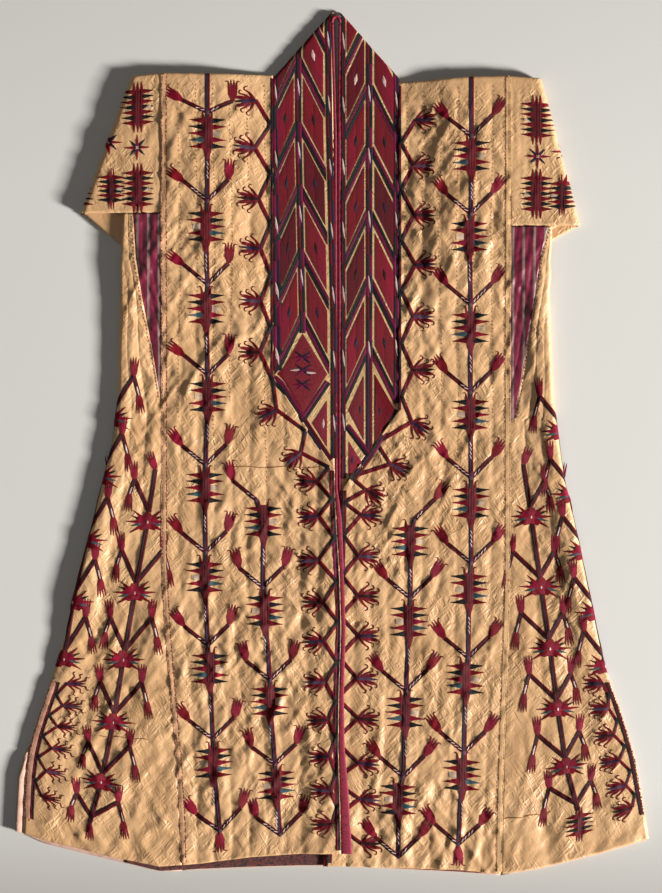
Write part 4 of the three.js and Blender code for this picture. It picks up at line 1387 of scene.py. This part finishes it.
def bar(work, x, y, tall, wide, color):
    """An upright field with darker lines in it."""
    left, right = x - wide / 2, x + wide / 2
    top, foot = y + tall / 2, y - tall / 2
    work.patch([(left, top), (left, foot), (right, foot), (right, top)], color)
    for part in (-0.25, 0, 0.25):
        line = x + part * wide
        work.blade((line, top - 2), (line, foot + 2), (0.9, 1.2, 0.9), "cord", lift=0.42)


def toothed_body(work, x, y, flip=1):
    """A field with five teeth a side, a pale patch between two of them, and two curled horns."""
    bar(work, x, y + 1, 44, 14.6, "russet")
    work.blade((x, y - 19), (x, y - 35), (14, 9, 5), "russet")
    for k, row in enumerate(np.linspace(17, -17, 5)):
        for side, colors in ((-flip, TEETH), (flip, PATCHED_TEETH)):
            if colors[k] is None:
                continue
            reach = 20.5 - 0.8 * abs(k - 2)
            root, tip = (x + side * 4.5, y + row), (x + side * (6.5 + reach), y + row - 0.8 * (k - 2))
            work.blade(root, tip, (9.2, 4.0, 0.6), colors[k], lift=-0.05)
    near, far = x + flip * 8, x + flip * 18.5
    work.patch([(near, y + 3.8), (far, y + 3.2), (far, y - 3.2), (near, y - 3.8)], "pale")
    for side in (-1, 1):
        tip = (x + side * 6.6, y + 29)
        work.blade((x + side * 5.2, y + 20), tip, (4.2, 2.6, 1.6), "brick")
        work.blade(tip, (tip[0] + side * 4.0, tip[1] + 0.4), (1.6, 1.5, 0.7), "brick", bow=side * 1.8)


def sleeve_body(work, x, y, flip=1, teeth=7, tall=49, wide=15):
    """A field with alternate brick and green teeth, and three points at both ends."""
    bar(work, x, y, tall, wide, "russet")
    for k, row in enumerate(np.linspace(0.44, -0.44, teeth) * tall):
        color = ("brick", "green")[k % 2]
        for side in (-1, 1):
            root, tip = x + side * (wide / 2 - 3), x + side * (wide / 2 + 14.5)
            work.blade((root, y + row), (tip, y + row), (7.8, 3.8, 0.6), color, lift=-0.05)
    for end in (-1, 1):
        for k in (-1, 0, 1):
            line = x + 0.35 * wide * k
            work.blade(
                (line, y + end * (tall / 2 - 2)), (line, y + end * (tall / 2 + 11)),
                (0.31 * wide, 0.19 * wide, 0.6), "brick",
            )
    near, far = x + flip * (wide / 2 + 1.5), x + flip * (wide / 2 + 11)
    work.patch([(near, y + 2), (far, y + 1.4), (far, y - 3), (near, y - 3)], "pale")


tally("a toothed body", toothed_body, 0, 0)

# %% [markdown]
# ### Tulips and hooked flowers
#
# A tulip ends each arm of a tree: a cup and petals that curl outwards. The hooked flowers have a
# dark core and petals that end in a hook, made of two short bowed blades.

# %% Tulips
def tulip(work, x, y, angle, color="crimson", hooks=True):
    """A cup with its foot at (x, y), and two straight petals between two curled ones, or four points."""
    ahead, right = towards(angle)
    foot = np.array([x, y], float)
    size = 1.12
    if not hooks:
        work.ray(foot, angle, 14, (5.8, 9.8, 10), color)
        for k in (-1.5, -0.5, 0.5, 1.5):
            root = foot + 12 * ahead + 2.6 * k * right
            work.ray(root, angle + 5 * k, 14.5 - abs(k), (2.5, 2.1, 0.6), color)
        return
    work.ray(foot, angle, 17 * size, (4 * size, 11.4 * size, 11.4 * size), color)
    for k in (-1, 1):
        root = foot + (15 * ahead + 1.7 * k * right) * size
        work.ray(root, angle + k, 11 * size, (3.3 * size, 2.4 * size, 0.6), color)
        root = foot + (14.5 * ahead + 4.5 * k * right) * size
        tip = work.ray(root, angle + 4 * k, 8.5 * size, (3.2 * size, 2.4 * size, 1.6), color)
        work.ray(tip, angle + 84 * k, 4.2 * size, (1.8, 1.6, 0.7), color, bow=1.3 * k)


tally("a tulip", tulip, 0, 0, 0)

# %% Hooked flowers
def hooked_flower(work, x, y, angle, size=1.0, core="navy"):
    """A flower with its foot at (x, y): a dark core, and a straight petal and three curled ones a side."""
    ahead, right = towards(angle)
    foot = np.array([x, y], float)
    work.ray(foot, angle, 17 * size, (6, 11.5 * size, 7 * size), "russet")
    for k in (-1, 1):
        root = foot + (14 * ahead + 3.6 * k * right) * size
        work.ray(root, angle + 5 * k, 14 * size, (4.8, 3.2, 0.6), "wine")
        for start, spread, long in ((12, 15, 16), (8, 32, 15), (3, 50, 17)):
            root = foot + (start * ahead + 2.4 * k * right) * size
            petal = ("brick", "russet")[spread == 32]
            tip = work.ray(root, angle + spread * k, long * size, (4.8, 3.0, 1.7), petal, bow=-1.6 * k)
            mid = work.ray(tip, angle + (spread + 48) * k, 3.8, (1.8, 1.8, 1.5), "wine", bow=0.8 * k)
            work.ray(mid, angle + (spread + 135) * k, 3.2, (1.5, 1.4, 0.7), "wine", bow=0.9 * k)
    work.ray(foot, angle, 30 * size, (4.4, 5.4, 0.7), core, lift=0.25)
    work.ray(foot, angle, 6, (7, 6, 3), "brick", lift=0.1)


def thin_flower(work, x, y, angle, core):
    """A flower of thin strands: a straight core and three kinked petals on each side."""
    ahead, right = towards(angle)
    foot = np.array([x, y], float)
    for k in (-1, 1):
        for start, spread, long in ((5, 9, 22), (4, 26, 17), (2, 48, 14)):
            root = foot + start * ahead + 0.8 * k * right
            tip = work.ray(root, angle + spread * k, long, (3.6, 2.6, 1.7), "brick")
            kink = work.ray(tip, angle + (spread + 72) * k, 5.2, (1.8, 1.7, 1.5), "wine")
            work.ray(kink, angle + (spread - 12) * k, 4.6, (1.6, 1.4, 0.6), "wine")
    work.ray(foot, angle, 27, (3.6, 4.4, 0.7), core, lift=0.25)


def full_flower(work, x, y, angle, core):
    """A small hooked flower."""
    hooked_flower(work, x, y, angle, 0.92, core)


tally("a hooked flower", hooked_flower, 0, 0, 90)

# %% Medallions and stars
def medallion(work, x, y):
    """A round crimson body of lobes with thin pointed rays on each side and a pale middle."""
    rays = (
        (50, 26, "brick"), (68, 24, "green"), (88, 30, "crimson"), (103, 24, "teal"),
        (121, 29, "brick"),
    )
    for side in (-1, 1):
        for angle, long, color in rays:
            work.ray((x, y), side * angle, long, (8.5, 4.2, 0.6), color)
        for k, (angle, long) in enumerate(((70, 14.5), (128, 14.5))):
            work.ray((x, y), side * angle, long, (8, 13, 7), ("crimson", "brick")[k], lift=0.12)
    work.ray((x, y), 0, 13.5, (14, 15, 8), "brick", lift=0.14)
    work.blade((x, y + 8), (x, y - 9), (13, 20, 12), "crimson", lift=0.2)
    work.blade((x, y + 2), (x, y - 2), (1.6, 3.0, 1.6), "white", lift=0.55)


def star(work, x, y):
    """Eight thin rays with a pale middle."""
    for k in range(8):
        color = ("crimson", "navy")[k % 2]
        work.ray((x, y), 45 * k, (18, 15)[k % 2], (3.2, 3.4, 0.6), color)
    for k in range(4):
        work.ray((x, y), 45 + 90 * k, 3, (1.2, 1.8, 0.7), "white", lift=0.3)


tally("a medallion", medallion, 0, 0)
tally("a star", star, 0, 0)

# %% [markdown]
# ### Trees
#
# A stem joins the motifs of a column. The arms go to both sides, and their angles differ from part
# to part of the garment, as the embroiderer's do.

# %% Trees of the fronts
def fork(work, x, y, sides=(-1, 1), count=0):
    """Two arms up from the stem, each with a tulip: steep on the left front's upper half."""
    for side in sides:
        end = (x + (29.5 if side > 0 else -33), y + (29 if side > 0 else 27))
        if x < 0 and y > 440:
            end = (x + 35 * side, y + 16)
            angle = 0 if side > 0 else -60
        elif x > 0:
            angle = 34 * side
        elif y > 40:
            angle = 4 if side > 0 else -54
        else:
            angle = 15 if side > 0 else (-36 if x < -140 else -14)
        colors = (("cord", "wine"), ("wine", "cord"))[(count + (side > 0)) % 2]
        stem(work, (x, y), end, 5.4, colors, white=(2, 4)[(count + side) % 3 == 0])
        tulip(work, *end, angle, color=("crimson", "brick")[(count + (side > 0)) % 2])


def tree(work, forks, bodies, top, first_sides=(-1, 1)):
    """A stem down from `top`, with a fork over each toothed body."""
    joints = [top] + sorted(forks + bodies, key=lambda place: -place[1])
    for k, (a, b) in enumerate(zip(joints[:-1], joints[1:])):
        stem(work, a, b, 6.0, (("wine", "navy"), ("wine", "green"))[k % 2])
    for k, (x, y) in enumerate(bodies):
        toothed_body(work, x, y, flip=(1, -1)[k % 2])
        dashes(work, (x, y - 38), (x, y - 62), 4)
    for k, (x, y) in enumerate(forks):
        fork(work, x, y, sides=first_sides if k == 0 else (-1, 1), count=k)
        work.ray((x, y + 2), 180, 5, (4, 5, 3), "slate", lift=0.3)


tally("a fork with its tulips", fork, 0, 0)

# %% Trees of the side panels
def bent_arm(work, x, y, side, sign, steep=False, rise=None, reach=29):
    """An arm of a side panel's tree: out to an elbow, a tulip up from it and a tulip down."""
    if rise is None:
        rise = 46 if x < 0 else 36
    elbow = (x + side * 9, y + 60) if steep else (x + side * reach - sign * 9, y + rise)
    stem(work, (x, y), elbow, 6.0, ("cord", "wine"))
    tulip(work, *elbow, (4, -20)[steep] * side, hooks=False)
    if steep:
        return
    drop = 27 if side == -sign else 20
    foot = (elbow[0] + side * 7, elbow[1] - drop)
    stem(work, elbow, foot, 5.4, ("wine", "cord"))
    work.blade((elbow[0] + side * 4, elbow[1] - 0.55 * drop), foot, (1.2, 2.2, 1.2), "white", lift=0.3)
    tulip(work, *foot, 180 - 6 * side, color="brick", hooks=False)


def side_tree(work, places, sign, foot=None, arms=(-1, 1), steep_first=False, foot_body=False):
    """A side panel's stem with a medallion at each place and bent arms above it."""
    ends = places[1:] + ([foot] if foot else [])
    for start, end in zip(places, ends):
        stem(work, start, end, 6.4, ("wine", "cord"))
    for k, (x, y) in enumerate(places):
        for side in arms:
            steep = steep_first and k == 0 and side == -sign
            bent_arm(work, x - sign * 2, y + 14, side, sign, steep, reach=29 if len(arms) == 2 else 20)
        medallion(work, x, y)
    if foot:
        if foot_body:
            sleeve_body(work, foot[0] + 2, foot[1] - 21, teeth=5, tall=28, wide=10)
        else:
            tulip(work, *foot, 180, hooks=False)
        for side in arms:
            bent_arm(work, foot[0] - sign * 2, foot[1] + 10, side, sign, rise=30)


tally("a bent arm", bent_arm, 0, 0, 1, 1)

# %% Zigzags
def zigzag(work, flowers, turns, way, width=5.4, flower=hooked_flower):
    """Flowers joined by a zigzag through its turns; way(y) is the angle a flower points at."""
    for start, turn, end in zip(flowers[:-1], turns, flowers[1:]):
        strand_pair(work, start, turn, width, ("brick", "wine"))
        strand_pair(work, turn, end, width, ("brick", "cord"))
        for place, other in ((turn, start), (turn, end)):
            reach = np.array(place) + 0.3 * (np.array(other) - np.array(place))
            work.blade(place, reach, (5.4, 4.4, 2.0), "green", lift=0.25)
    for k, (x, y) in enumerate(flowers):
        flower(work, x, y, way(y), core=("navy", "slate", "cord")[k % 3])


# %% [markdown]
# ## Where the motifs are
#
# Places are in millimetres on the pattern, from the shoulder down. The embroiderer did not measure,
# so they are listed one by one and not spaced by a rule.

# %% Places
FORKS = {
    "left outer": [(-179, 461), (-179, 340), (-179, 224), (-179, 98), (-182, -28), (-182, -150),
                   (-179, -280), (-172, -413), (-162, -546)],
    "left inner": [(-111, -77), (-102, -199), (-92, -329), (-85, -455), (-78, -560)],
    "right outer": [(189, 431), (188, 322), (188, 196), (188, 74), (189, -46), (189, -165),
                    (185, -297), (179, -427), (171, -553)],
    "right inner": [(109, -105), (104, -214), (98, -343), (94, -462), (87, -573)],
}
BODIES = {
    "left outer": [(-179, 432), (-181, 304), (-181, 190), (-179, 67), (-183, -60), (-183, -185),
                   (-176, -313), (-171, -448)],
    "left inner": [(-101, -107), (-99, -232), (-92, -361), (-83, -487)],
    "right outer": [(189, 403), (186, 290), (188, 163), (188, 42), (189, -81), (186, -202),
                    (181, -327), (176, -458)],
    "right inner": [(104, -135), (102, -247), (97, -373), (87, -494)],
}
FLOWERS = {
    "left": [(-112, 479), (-113, 413), (-108, 343), (-105, 274), (-105, 200), (-106, 129), (-83, 49),
             (-49, -11), (-27, -52), (-24, -99), (-25, -161), (-18, -220), (-17, -274), (-15, -333),
             (-11, -389), (-9, -444), (-7, -497), (-5, -546)],
    "right": [(111, 459), (108, 392), (109, 321), (111, 251), (108, 179), (108, 104), (106, 32),
              (76, -27), (42, -63), (35, -98), (31, -155), (31, -211), (31, -267), (29, -326),
              (31, -382), (31, -444), (33, -494), (35, -556)],
}
MEDALLIONS = {
    "left": [(-263, -108), (-281, -207), (-297, -301), (-311, -392), (-328, -484)],
    "right": [(273, -101), (287, -199), (299, -285), (310, -370), (322, -454)],
}
TREE_FEET = {"left": (-344, -548), "right": (338, -520)}
FOLD_MEDALLIONS = {
    "left": [(-313, 36), (-329, -45), (-349, -134), (-367, -220), (-380, -300)],
    "right": [(315, 18), (330, -70), (347, -150), (363, -235), (377, -310)],
}
VENT_FLOWERS = {
    "left": [(-376, -336), (-382, -371), (-389, -405), (-397, -442), (-405, -482), (-411, -525)],
    "right": [(373, -335), (381, -373), (388, -415), (396, -457), (405, -499), (414, -536)],
}
SLEEVE_PLACES = {
    "left": dict(bodies=[(-276, 470), (-276, 357), (-318, 361)], stars=[(-277, 414), (-316, 422)]),
    "right": dict(bodies=[(280, 455), (280, 350), (320, 352)], stars=[(281, 403), (318, 410)]),
}

# %% The work on the fronts
def front_turns(half):
    """The zigzag's inner turns: on the collar's seam, along its cut end, then along the edging."""
    turns = []
    for (_, above), (_, below) in zip(FLOWERS[half.name][:-1], FLOWERS[half.name][1:]):
        y = (above + below) / 2
        part = (y - half.free_tip) / (half.sewn_tip - half.free_tip)
        if part > 1:
            x = half.sign * (COLLAR_WIDTH + 3.5)
        elif part > 0:
            x = half.sign * (8 + (COLLAR_WIDTH - 4) * part)
        else:
            x = float(OPENING(half.name, y)) + half.sign * 4
        turns.append((x, y))
    return turns


def front_work(half):
    """Both trees of a front and the hooked flowers beside the collar and the opening."""
    work = Stitches(lambda s, t, rise: lay(half, s, t, rise, flat_side=True))
    name = half.name
    for tree_name in (f"{name} outer", f"{name} inner"):
        forks = FORKS[tree_name]
        outer = tree_name.endswith("outer")
        top = (forks[0][0], SHOULDER + 3) if outer else forks[0]
        tree(work, forks, BODIES[tree_name], top, (-1, 1) if outer else (half.sign,))
    x, y = FORKS[f"{name} outer"][-1]
    tulip(work, x, y - 2, 180)

    def way(y):
        slanted = half.free_tip - 10 < y < half.sewn_tip
        return half.sign * (90 + 32 * slanted + 6 * np.sin(y))

    zigzag(work, FLOWERS[name], front_turns(half), way)
    return work

# %% The work on the side panels
def gore_work(half):
    """The side panel above the vent: its tree, and the one that goes round the side fold."""
    work = Stitches(lambda s, t, rise: lay(half, s, t, rise))
    side_tree(work, MEDALLIONS[half.name][:2], half.sign, steep_first=True)
    side_tree(work, FOLD_MEDALLIONS[half.name], half.sign, arms=(-half.sign,))
    return work


def flap_work(half):
    """The front flap beside the vent: the rest of its tree, and hooked flowers along the edge."""
    work = Stitches(lambda s, t, rise: lay(half, s, t, rise, flat_side=True))
    sign = half.sign
    stem(work, MEDALLIONS[half.name][1], MEDALLIONS[half.name][2], 6.4, ("wine", "cord"))
    side_tree(work, MEDALLIONS[half.name][2:], sign, TREE_FEET[half.name], foot_body=half is RIGHT)
    if half is LEFT:
        bands, rows = ((12.4, "cord", 3.0), (9.8, "wine", 2.4), (5, "blush", 7)), (7.4, 1.4)
        to_turn, low, flower = 14, HEM + 24, thin_flower
    else:
        bands, rows = ((5.6, "cord", 3.2), (3.0, "wine", 2.4)), (0.8,)
        to_turn, low, flower = 9, HEM + 38, full_flower
    flowers = VENT_FLOWERS[half.name]
    middles = [(a[1] + b[1]) / 2 for a, b in zip(flowers[:-1], flowers[1:])]
    turns = [(sign * (float(fold_at(half, y)) - to_turn), y) for y in middles]
    zigzag(work, flowers, turns, lambda y: -90 * sign, 4.0, flower)
    y = np.linspace(VENT_TOP - 6, low, 14)
    for inset, color, width in bands:
        for start, end in neighbours(sign * (fold_at(half, y) - inset), y):
            work.blade(start, end, (width,) * 3, color)
    for k, inset in enumerate(rows):
        running_stitch(
            work, lambda y: sign * (fold_at(half, y) - inset), VENT_TOP - 6, low,
            4.6, 3.6, (1.2, 2.2)[k], "wine", seed=40 + k,
        )
    return work

# %% The work on the sleeves
def sleeve_work(half):
    """Toothed bodies and stars on both faces of a sleeve."""
    work = Stitches(lambda s, t, rise: lay_sleeve(half, s, t, rise))
    places = SLEEVE_PLACES[half.name]
    back_y = 2 * SHOULDER + 10
    for x, y in places["bodies"]:
        for column in (0, 84):
            if abs(x) + column < BODY_HALF + SLEEVE_LENGTH - 20:
                if abs(x) > 300 and not column:
                    sleeve_body(work, x - 5 * half.sign, y - 4, -half.sign, 6, 36, 9)
                    continue
                sleeve_body(work, x + half.sign * column, y, -half.sign)
                if y > 440:
                    sleeve_body(work, x + half.sign * column, back_y - y)
    for x, y in places["stars"]:
        star(work, x, y)
        star(work, x, back_y - y)
    return work

# %% [markdown]
# ### The collar
#
# The band is all embroidery: columns of slanting leaves with cream lines between them, which are
# the ground left bare. Each column has its x on the stem's side and on the far side, and `tips`
# says where its leaves begin. Patches that stop short of each other leave the lines; drawing the
# lines on top would raise them, and in fact they lie lower.

# %% The collar's lattice
LATTICE = {
    "left": dict(leaves=((-58.5, -84), (-46, -17.5)), stem=-52.5, inner=-15, pitch=90.3, lean=6,
                 tips=[694, 604, 513.5, 423.5, 333, 243]),
    "right": dict(leaves=((40, 15), (54, 81)), stem=46.5, inner=13, pitch=94, lean=0,
                  tips=[668, 574, 485, 391, 296, 201]),
}
LEAF_DROP = 55  # how much lower a leaf is on its far side
LEAF_SIDE = 62  # its upright sides
STRAND = 9.4  # how high each strand of a slanting pair is, measured upright
MARKS = ["cord", "navy", "green", "white", "green", "navy"]


def leaf(work, inner, outer, tip, colors, mark):
    """A slanting leaf in two tones with a small mark in its middle. Its sides are upright."""
    side = np.sign(outer - inner)
    middle = (inner + outer) / 2
    middle_top = (tip + (tip - LEAF_DROP)) / 2
    middle_foot = ((tip - LEAF_SIDE) + (tip - LEAF_DROP - LEAF_SIDE)) / 2
    inner, outer = inner + 0.4 * side, outer - 0.4 * side
    inner_side = [(inner, tip), (inner, tip - LEAF_SIDE)]
    centre_line = [(middle, middle_top), (middle, middle_foot)]
    outer_side = [(outer, tip - LEAF_DROP - LEAF_SIDE), (outer, tip - LEAF_DROP)]
    work.patch(inner_side + centre_line[::-1], colors[0])
    work.patch(centre_line + outer_side, colors[1])
    centre = (middle_top + middle_foot) / 2
    upper, lower = (middle - 1.5 * side, centre + 8), (middle + 1.5 * side, centre - 8)
    work.blade(upper, lower, (0.7, 5.6, 0.7), mark, lift=0.3)


def upright_bands(work, xs, top, foot, color_pairs, width=7.2):
    """Stretches of two strands down the band, changing colour on the way."""
    cuts = np.linspace(top, foot, max(2, int(round((top - foot) / 30)) + 1))
    for k, (a, b) in enumerate(zip(cuts[:-1], cuts[1:])):
        strand_pair(work, (xs(a), a), (xs(b), b - 1), width, color_pairs[k % len(color_pairs)])
        if k % 3 == 1:
            work.blade((xs(a) - 1.2, a), (xs(a) + 1.6, a - 24), (0.8, 2.9, 0.6), "white", lift=0.3)

# %% The work on the collar
def collar_work(half):
    """The band's lattice, and the lozenges that finish its cut end."""
    plan = LATTICE[half.name]

    def place(s, t, rise):
        """On the band, and no farther round its fold than the cloth goes."""
        fold = SHOULDER + (COLLAR_WIDTH - np.abs(s)) * (PEAK_Y - SHOULDER) / (COLLAR_WIDTH - PEAK_X)
        inside = smooth(COLLAR_WIDTH - np.abs(s), 0, 10)
        leaning = plan["lean"] * np.clip((450 - t) / 285, 0, 1) * inside
        return lay_collar(half, s + leaning, np.minimum(t, fold + 12), rise)

    work = Stitches(place)
    sign = half.sign
    for k, tip in enumerate(plan["tips"]):
        for j, (inner, outer) in enumerate(plan["leaves"]):
            colors = (("brick", "brick"), ("wine", "wine"), ("brick", "crimson"))[(k + j) % 3]
            leaf(work, inner, outer, tip, colors, MARKS[(k + 2) % 6])
            # The two strands in the slanting gap below the leaf.
            strands = ("magenta", "green") if (k + j) % 2 else ("green", "magenta")
            for number, color in enumerate(strands):
                top = tip - LEAF_SIDE - (plan["pitch"] - LEAF_SIDE) / 2 + (1 - number) * STRAND
                foot = top - LEAF_DROP
                reach = 2.4 * np.sign(inner - outer)
                rise = 2.4 * LEAF_DROP / abs(inner - outer)
                work.patch([
                    (inner + reach, top + rise), (outer - reach, foot - rise),
                    (outer - reach, foot - rise - STRAND), (inner + reach, top + rise - STRAND),
                ], color)
    last = plan["tips"][-1]
    pairs = [("magenta", "green"), ("navy", "magenta"), ("green", "wine")]
    upright_bands(work, lambda y: plan["stem"], PEAK_Y + 30, last - LEAF_SIDE - 24, pairs, 8.2)
    upright_bands(work, lambda y: sign * 84.2, SHOULDER + 20, half.sewn_tip + 10, pairs[1:] + pairs[:1])

    def beside_edging(y):
        """The middle between the band's inner edge and the braid's side of the opening."""
        return (plan["inner"] + float(OPENING(half.name, y))) / 2

    upright_bands(
        work, beside_edging, PEAK_Y + 10, half.free_tip + 16, [("wine", "green"), ("navy", "wine")],
        abs(plan["inner"]) - 7,
    )
    lozenges(work, half)
    return work

# %% The cut ends of the collar
def field(work, corners, mark, color="brick"):
    """A field with a small mark in its middle."""
    work.patch(corners, color)
    x, y = np.mean(np.array(corners), axis=0)
    work.blade((x, y + 7), (x, y - 7), (0.7, 5, 0.7), mark, lift=0.3)


def lozenges(work, half):
    """Fields and strands at the band's cut end, each half in its own way."""
    if half is LEFT:
        work.patch([(-52, 155), (-84, 99), (-52, 44), (-18, 99)], "brick")
        for row in (122, 104, 84):
            for angle in (-52, 52, 128, -128, 90, -90):
                color = ("magenta", "navy", "slate")[(abs(angle) == 52) + (angle == 128)]
                work.ray((-52, row), angle, 13, (4.0, 3.4, 1.4), color, lift=0.5)
        for side in (-1, 1):
            root = (-52 + side * 5, 103 - 2 * side)
            work.ray(root, 94 * side, 13, (2.2, 3.2, 0.9), "white", lift=0.75)
        field(work, [(-39, 30), (-18.5, 62), (-18.5, 30), (-18.5, -3)], "white", "crimson")
        bands = [((-88, 94), (-52, 36)), ((-52, 36), (-14, -22)), ((-52, 36), (-17, 88))]
    else:
        field(work, [(17.5, 48), (39, 97), (39, 47), (39, 6)], "navy")
        field(work, [(83, 48), (54, 99), (54, 47), (54, -2)], "navy")
        field(work, [(18, 5), (18, -22), (18, -44), (36, -24)], "navy", "crimson")
        bands = [
            ((86, 48), (50, -12)), ((50, -12), (15, -60)), ((16, 26), (46, -14)),
            ((46.5, 128), (46.5, -8)),
        ]
    for k, (start, end) in enumerate(bands):
        strand_pair(work, start, end, 8.4, (("magenta", "green"), ("wine", "navy"))[k % 2])


# %% [markdown]
# ## Seams, quilting and the hidden back
#
# The seams are worked over with rows of red stitches, and faint quilting lines run down beside
# them. One helper makes any row of single stitches; it moves each a little, from a fixed seed, so
# the row is uneven in the same way at each run.

# %% A row of stitches
def running_stitch(work, xs, top, foot, spacing, length, width, color, seed, lift=0.0):
    """Single stitches down a line, a little uneven. xs(y) is the line's x."""
    rng = np.random.default_rng(seed)
    y = np.arange(top, foot, -spacing)
    y = y + rng.uniform(-0.25, 0.25, len(y)) * spacing
    x = xs(y) + rng.uniform(-0.5, 0.5, len(y))
    slant = rng.uniform(-0.4, 0.4, len(y))
    for a, b, c in zip(x, y, slant):
        work.blade((a, b), (a + c, b - length), (0.6 * width, width, 0.6 * width), color, lift=lift)

# %% Seams, cord and quilting
# Where a width of silk was pieced: y, then x from and to.
PIECINGS = {"left": [(-31, -142, -24), (-413, -262, -330)], "right": [(-514, 232, 300)]}
QUILTED_DOWN_TO = (40, 210, -40, 60, 330, -60)  # how far down each quilting line shows its stitches


def seam_work(half):
    """Two rows of red stitches over the side seam, one along the wedge, and lines of quilting."""
    sign = half.sign
    work = Stitches(lambda s, t, rise: lay(half, s, t, rise, flat_side=True))
    y = np.linspace(SHOULDER, HEM + 3, 60)
    for start, end in neighbours(sign * (seam_at(half, y) - 1.5), y):
        work.blade(start, end, (7.2,) * 3, ("faded", "straw")[sign > 0], lift=0.1)
    for k, aside in enumerate((-5.4, 0.5)):
        running_stitch(
            work, lambda y: sign * (seam_at(half, y) + aside), SHOULDER - 2, HEM + 4,
            4.4, 3.5, (1.4, 1.1)[sign > 0], ("thread", "dusty")[sign > 0], seed=k, lift=0.35,
        )
    # The band of two strands beside the opening's braid, below the collar.
    y = np.linspace(half.free_tip - 2, HEM + 5, 34)
    for k, (start, end) in enumerate(neighbours(OPENING(half.name, y) + sign * 3.6, y)):
        colors = (("cord", "wine"), ("green", "wine"), ("cord", "magenta"))[k // 3 % 3]
        strand_pair(work, start, end, 6.4, colors[::-sign])
    # The piecings: a faint line across.
    for height, near, far in PIECINGS[half.name]:
        x = np.linspace(near, far, 14)
        for start, end in neighbours(x, height + np.sin(np.arange(14))):
            work.blade(start, end, (1.2,) * 3, "quilting", lift=-0.1)
    # The cord that covers the seam between front and collar.
    y = np.linspace(SHOULDER - 2, half.sewn_tip, 12)
    x = np.full(12, sign * (COLLAR_WIDTH + 1.6))
    for k, (start, end) in enumerate(neighbours(x, y)):
        work.blade(start, end, (3.2,) * 3, ("wine", "green")[k % 2])
    running_stitch(
        work, lambda y: sign * (wedge_at(half, y) + 2.4), half.underarm - 4, half.wedge_tip,
        5.2, 3.0, 1.3, "thread", seed=8,
    )
    for k, foot in enumerate(QUILTED_DOWN_TO, 1):
        line = BODY_HALF - CHANNEL * k
        running_stitch(
            work, lambda y: sign * (line + 2 * np.sin(y / 61)), SHOULDER - 12, foot,
            5.6, 2.6, 0.9, "quilting", seed=20 + k,
        )
    return work

# %% [markdown]
# ### The back
#
# The back has trees like the fronts. It is pressed against the floor, so its stitches are coarse
# and sink into the cloth.

# %% The work on the back
def lay_back(x, y, rise):
    """Points of the underside. It rests on the floor, so its stitches are pressed into the cloth."""
    x, y, rise = np.broadcast_arrays(x, y, rise)
    z = back_under(x, y) + by_side(curl, x, y) + BACK_LIFT - np.clip(rise, 0, 0.9 * BACK_LIFT)
    return np.stack([x, by_side(settle, x, y, "back"), z], -1)


def back_work():
    """Trees like those of the front, three on the back width and one on each side panel."""
    work = Stitches(lay_back, coarse=2)
    for x in (-165, 0, 165):
        forks = [(x, y) for y in (360, 232, 104, -24, -152, -280, -408, -536)]
        bodies = [(x, y - 34) for _, y in forks[:-1]]
        tree(work, forks, bodies, (x, 400))
    for half in HALVES:
        places = [(half.sign * (270 + 0.14 * (100 - y)), y) for y in (-100, -210, -320, -430)]
        side_tree(work, places, half.sign)
    return work

# %% All the embroidery
embroidery = [back_work().build("back_embroidery")]
for half in HALVES:
    embroidery += [
        front_work(half).build(f"front_{half.name}_embroidery"),
        gore_work(half).build(f"side_gore_{half.name}_embroidery"),
        flap_work(half).build(f"vent_{half.name}_embroidery"),
        sleeve_work(half).build(f"sleeve_{half.name}_embroidery"),
        collar_work(half).build(f"collar_{half.name}_embroidery"),
        seam_work(half).build(f"seams_{half.name}_stitches"),
    ]
print(sum(len(item.data.polygons) for item in embroidery), "faces of embroidery")

# %% [markdown]
# ## The floor
#
# Pale paper under the cloak, a little darker at two of its edges: painted shade for the light
# falling off toward them.

# %% The floor
def floor_cloth():
    """Pale paper with painted shade: softly darker toward the near edge, a little toward the far one."""
    material, tree, shader = node_material("floor_cloth", (0.62, 0.61, 0.58), 0.9)
    place = add(tree, "ShaderNodeTexCoord").outputs["Object"]
    apart = add(tree, "ShaderNodeSeparateXYZ")
    tree.links.new(place, apart.inputs[0])
    # Painted shade: the paper's colour darkens toward its near edge and a little toward its far edge, in
    # place of the light falling off there.
    near = ramp(tree, apart.outputs["Y"], -0.64, -0.48, 0.62, 0)
    far = ramp(tree, apart.outputs["Y"], 0.36, 0.66, 0, 0.2)
    color = blend_colors(tree, near, (0.62, 0.61, 0.58), (0.3, 0.28, 0.26))
    color = blend_colors(tree, far, color, (0.36, 0.34, 0.33))
    tree.links.new(color, shader.inputs["Base Color"])
    return material


FLOOR = 4.0  # metres from its middle to each edge
corners = [(-FLOOR, -FLOOR, 0), (FLOOR, -FLOOR, 0), (FLOOR, FLOOR, 0), (-FLOOR, FLOOR, 0)]
floor_mesh = bpy.data.meshes.new("floor")
floor_mesh.from_pydata(corners, [], [(0, 1, 2, 3)])
floor_mesh.materials.append(floor_cloth())
floor = bpy.data.objects.new("floor", floor_mesh)
bpy.context.scene.collection.objects.link(floor)
print("the floor is", 2 * FLOOR, "m wide")
